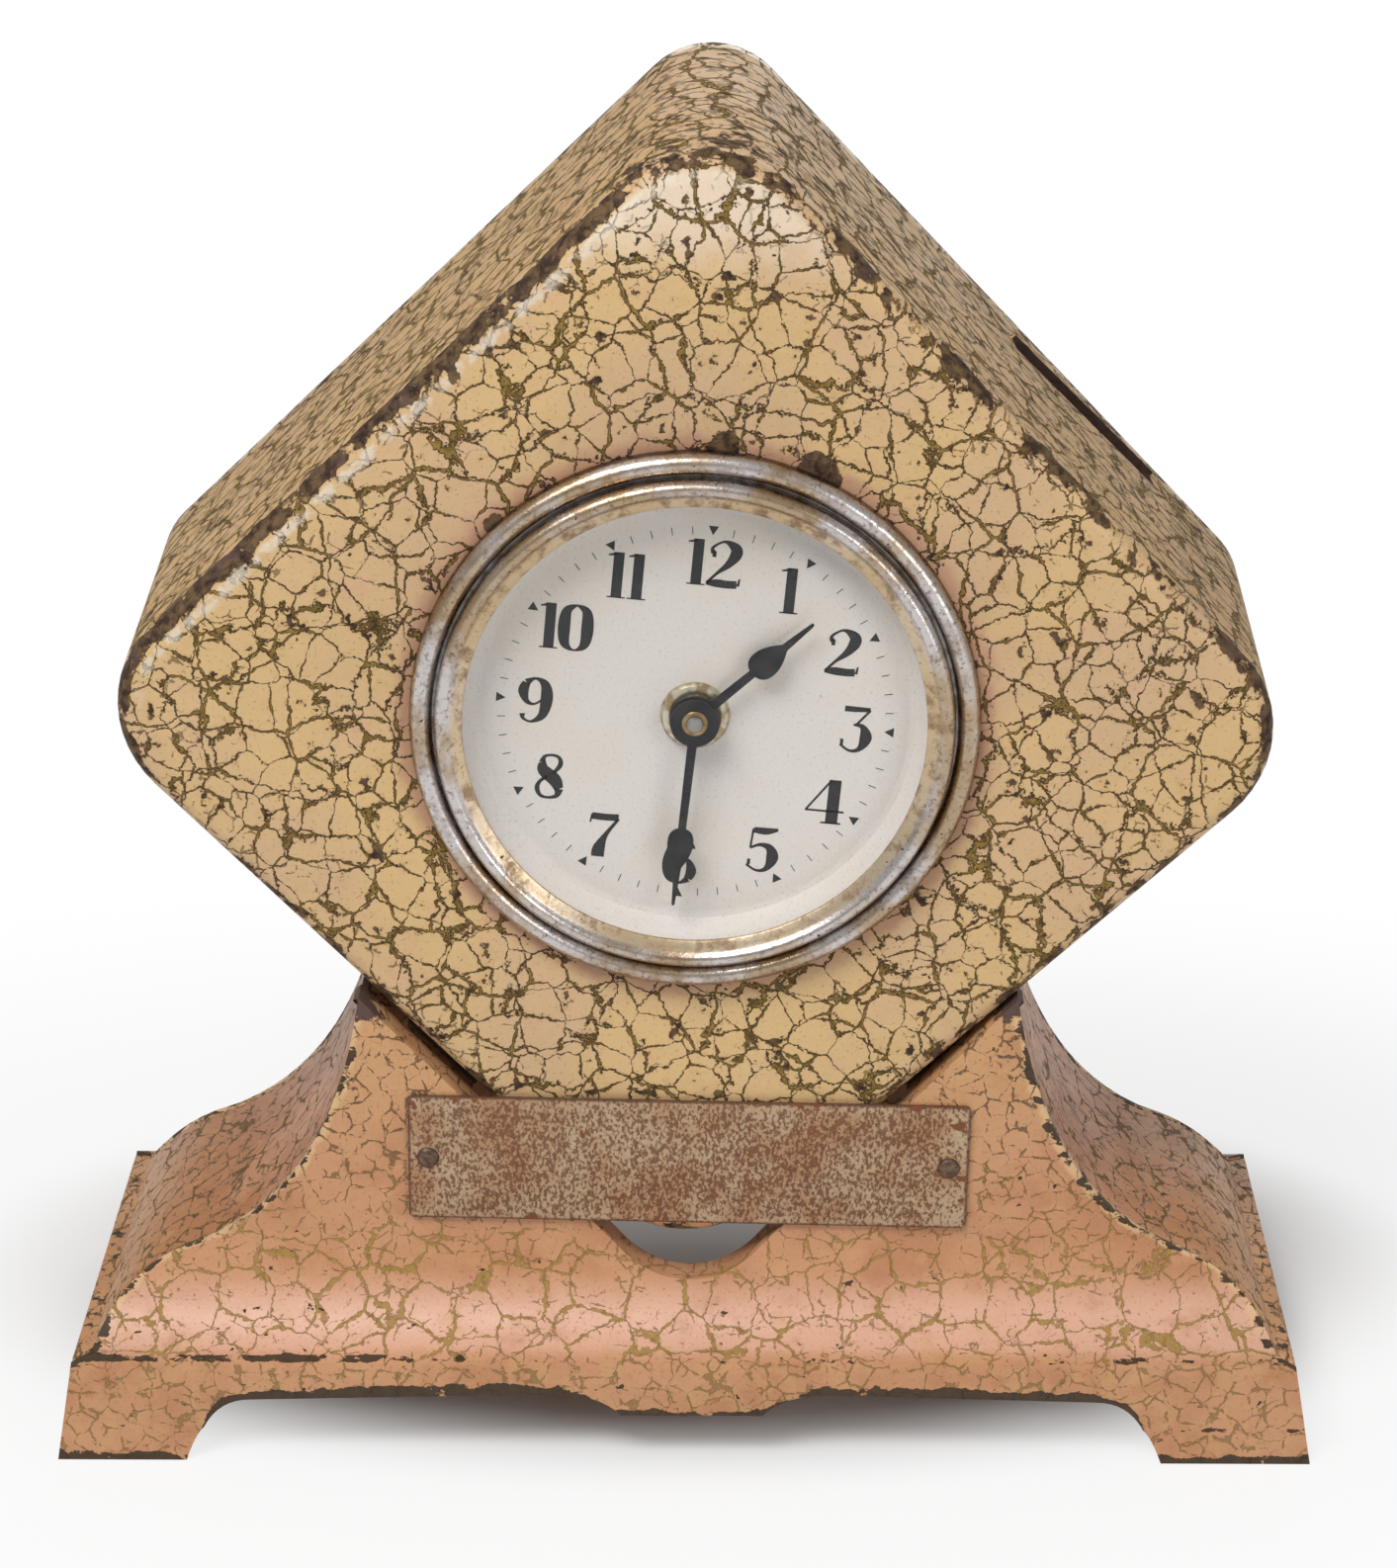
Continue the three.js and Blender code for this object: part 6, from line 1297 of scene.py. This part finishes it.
ink_outlines = []
for hour in range(1, 13):
    ink_outlines += figure_outlines(str(hour), clock_point(FIGURE_CIRCLE, hour))
    ink_outlines.append(mark_outline(HOUR_MARK, hour))
ink_outlines += [mark_outline(MINUTE_MARK, minute / 5) for minute in range(60) if minute % 5]
film = (DIAL_FACE - INK_FILM, DIAL_FACE - INK_FILM / 4)
marks = [plate("mark", [outline], *film) for outline in ink_outlines]
alone(marks[0])
for mark in marks:
    mark.select_set(True)
bpy.ops.object.join()
dial_print = bpy.context.object
dial_print.name = "dial_print"
settle(dial_print, dial_place)
ink = Finish("dial_ink")
ink_noise = ink.place().noise(0.6, 4)
ink.set(
    Base_Color=ink.mix(ink_noise.smooth(0.6, 0.75), paint(20, 18, 19), paint(62, 56, 50)),
    Roughness=0.6 + ink_noise * 0.1,
)
finish_piece(dial_print, "clock", "hand_black", ink.material)


# Hands
# Two blued steel spade hands: the hour hand on its pipe, the minute hand in front of it on the
# centre arbor, held by a small brass collet.

# Body, angle in degrees, length, height of the widest place, width there, radius of the boss
# and of its hole, and the place of the front face
HANDS = {
    "hour_hand": ("hour_wheel", 43.6, 18.9, 11.6, 3.6, 3.1, 2.2, -26.0),
    "minute_hand": ("minute_arbor", 181.1, 24.2, 16.4, 3.2, 3.0, 1.3, -27.1),
}
HAND_SHEET = 0.4
STEM = 0.575
TIP = 0.2


def spade(length, widest, width, boss):
    """Half the outline of a spade hand, from its boss up to its tip."""
    start = math.degrees(math.asin(STEM / boss))
    half = arc((0, 0), boss, -90, 90 - start, 24)
    half.append((STEM * 0.85, widest - 2.4))
    half += curve_points(half[-1], (width / 2 * 1.02, widest - 2.1), (width / 2, widest - 0.5))
    half += curve_points(half[-1], (width / 2 * 0.98, widest + 0.9), (STEM * 0.8, widest + 2.7))
    return half + [(TIP, length - 0.2), (TIP * 0.5, length)]


blued = worn_metal(
    "blued_steel", 0.55, 2.4, (0.42, 0.64), (20, 21, 26), (46, 44, 46), (0.34, 0.2), 0.5, 0.02
)
for name, (body, angle, length, widest, width, boss, bore_radius, front) in HANDS.items():
    half = spade(length, widest, width, boss)
    outline = half + [(-x, z) for x, z in reversed(half)][:-1]
    hole = arc((0, 0), bore_radius + 0.03, 0, 360, 32)[:-1]
    hand = plate(name + "_spade", [outline, hole], front - HAND_SHEET, front)
    soften(hand, 0.1, 50)
    settle(hand, dial_place @ at((0, 0, 0), angle))
    smooth(hand, 40)
    finish_piece(hand, body, "hand_black", blued, name)

collet_profile = [(1.03, -26.6), (1.3, -26.6), (1.3, -27.14), (1.62, -27.16), (1.62, -27.45)]
collet_profile += [(1.45, -27.62), (1.2, -27.66), (1.03, -27.6)]
turned("collet_ring", collet_profile, 48, "brass", brass, "minute_hand_collet", 40, "minute_arbor")


# Bright steel, brass wheels and springs
# What is inside and behind keeps its turned, milled and cut shapes: plates and wheels of brass,
# arbors, screws and pins of steel, springs of blued steel.

steel = worn_metal(
    "satin_steel", 0.9, 2.0, (0.4, 0.66), (150, 148, 146), (108, 98, 90), (0.3, 0.25)
)
spring = Finish("spring_blue", Metallic=0.9)
spring_stain = spring.place().noise(1.5, 3)
purple = spring_stain.smooth(0.4, 0.6)
spring.set(
    Base_Color=spring.mix(purple, paint(58, 70, 108), paint(84, 74, 86)),
    Roughness=0.28 + spring_stain * 0.15,
)
felt = Finish("felt", Roughness=0.95)
fluff = felt.place().noise(0.5, 4, 0.7)
felt.set(
    Base_Color=felt.mix(fluff, paint(58, 44, 36), paint(98, 80, 66)),
    Normal=felt.bump(fluff * 0.25),
)
SLOT_FINISH = {
    "case_paint": case_paint,
    "stand_paint": pressed_paint,
    "rusty_tin": tin.material,
    "rivet_steel": rivet_steel.material,
    "chrome": steel,
    "glass": clear.material,
    "dial_paint": silver.material,
    "hand_black": blued,
    "brass": brass,
    "steel": steel,
    "spring_steel": spring.material,
    "felt": felt.material,
}
for part in frame["record"]["subparts"]:
    node = frame["nodes"][part["node"]]
    node.material_slots[0].material = SLOT_FINISH[part["material_slot"]]
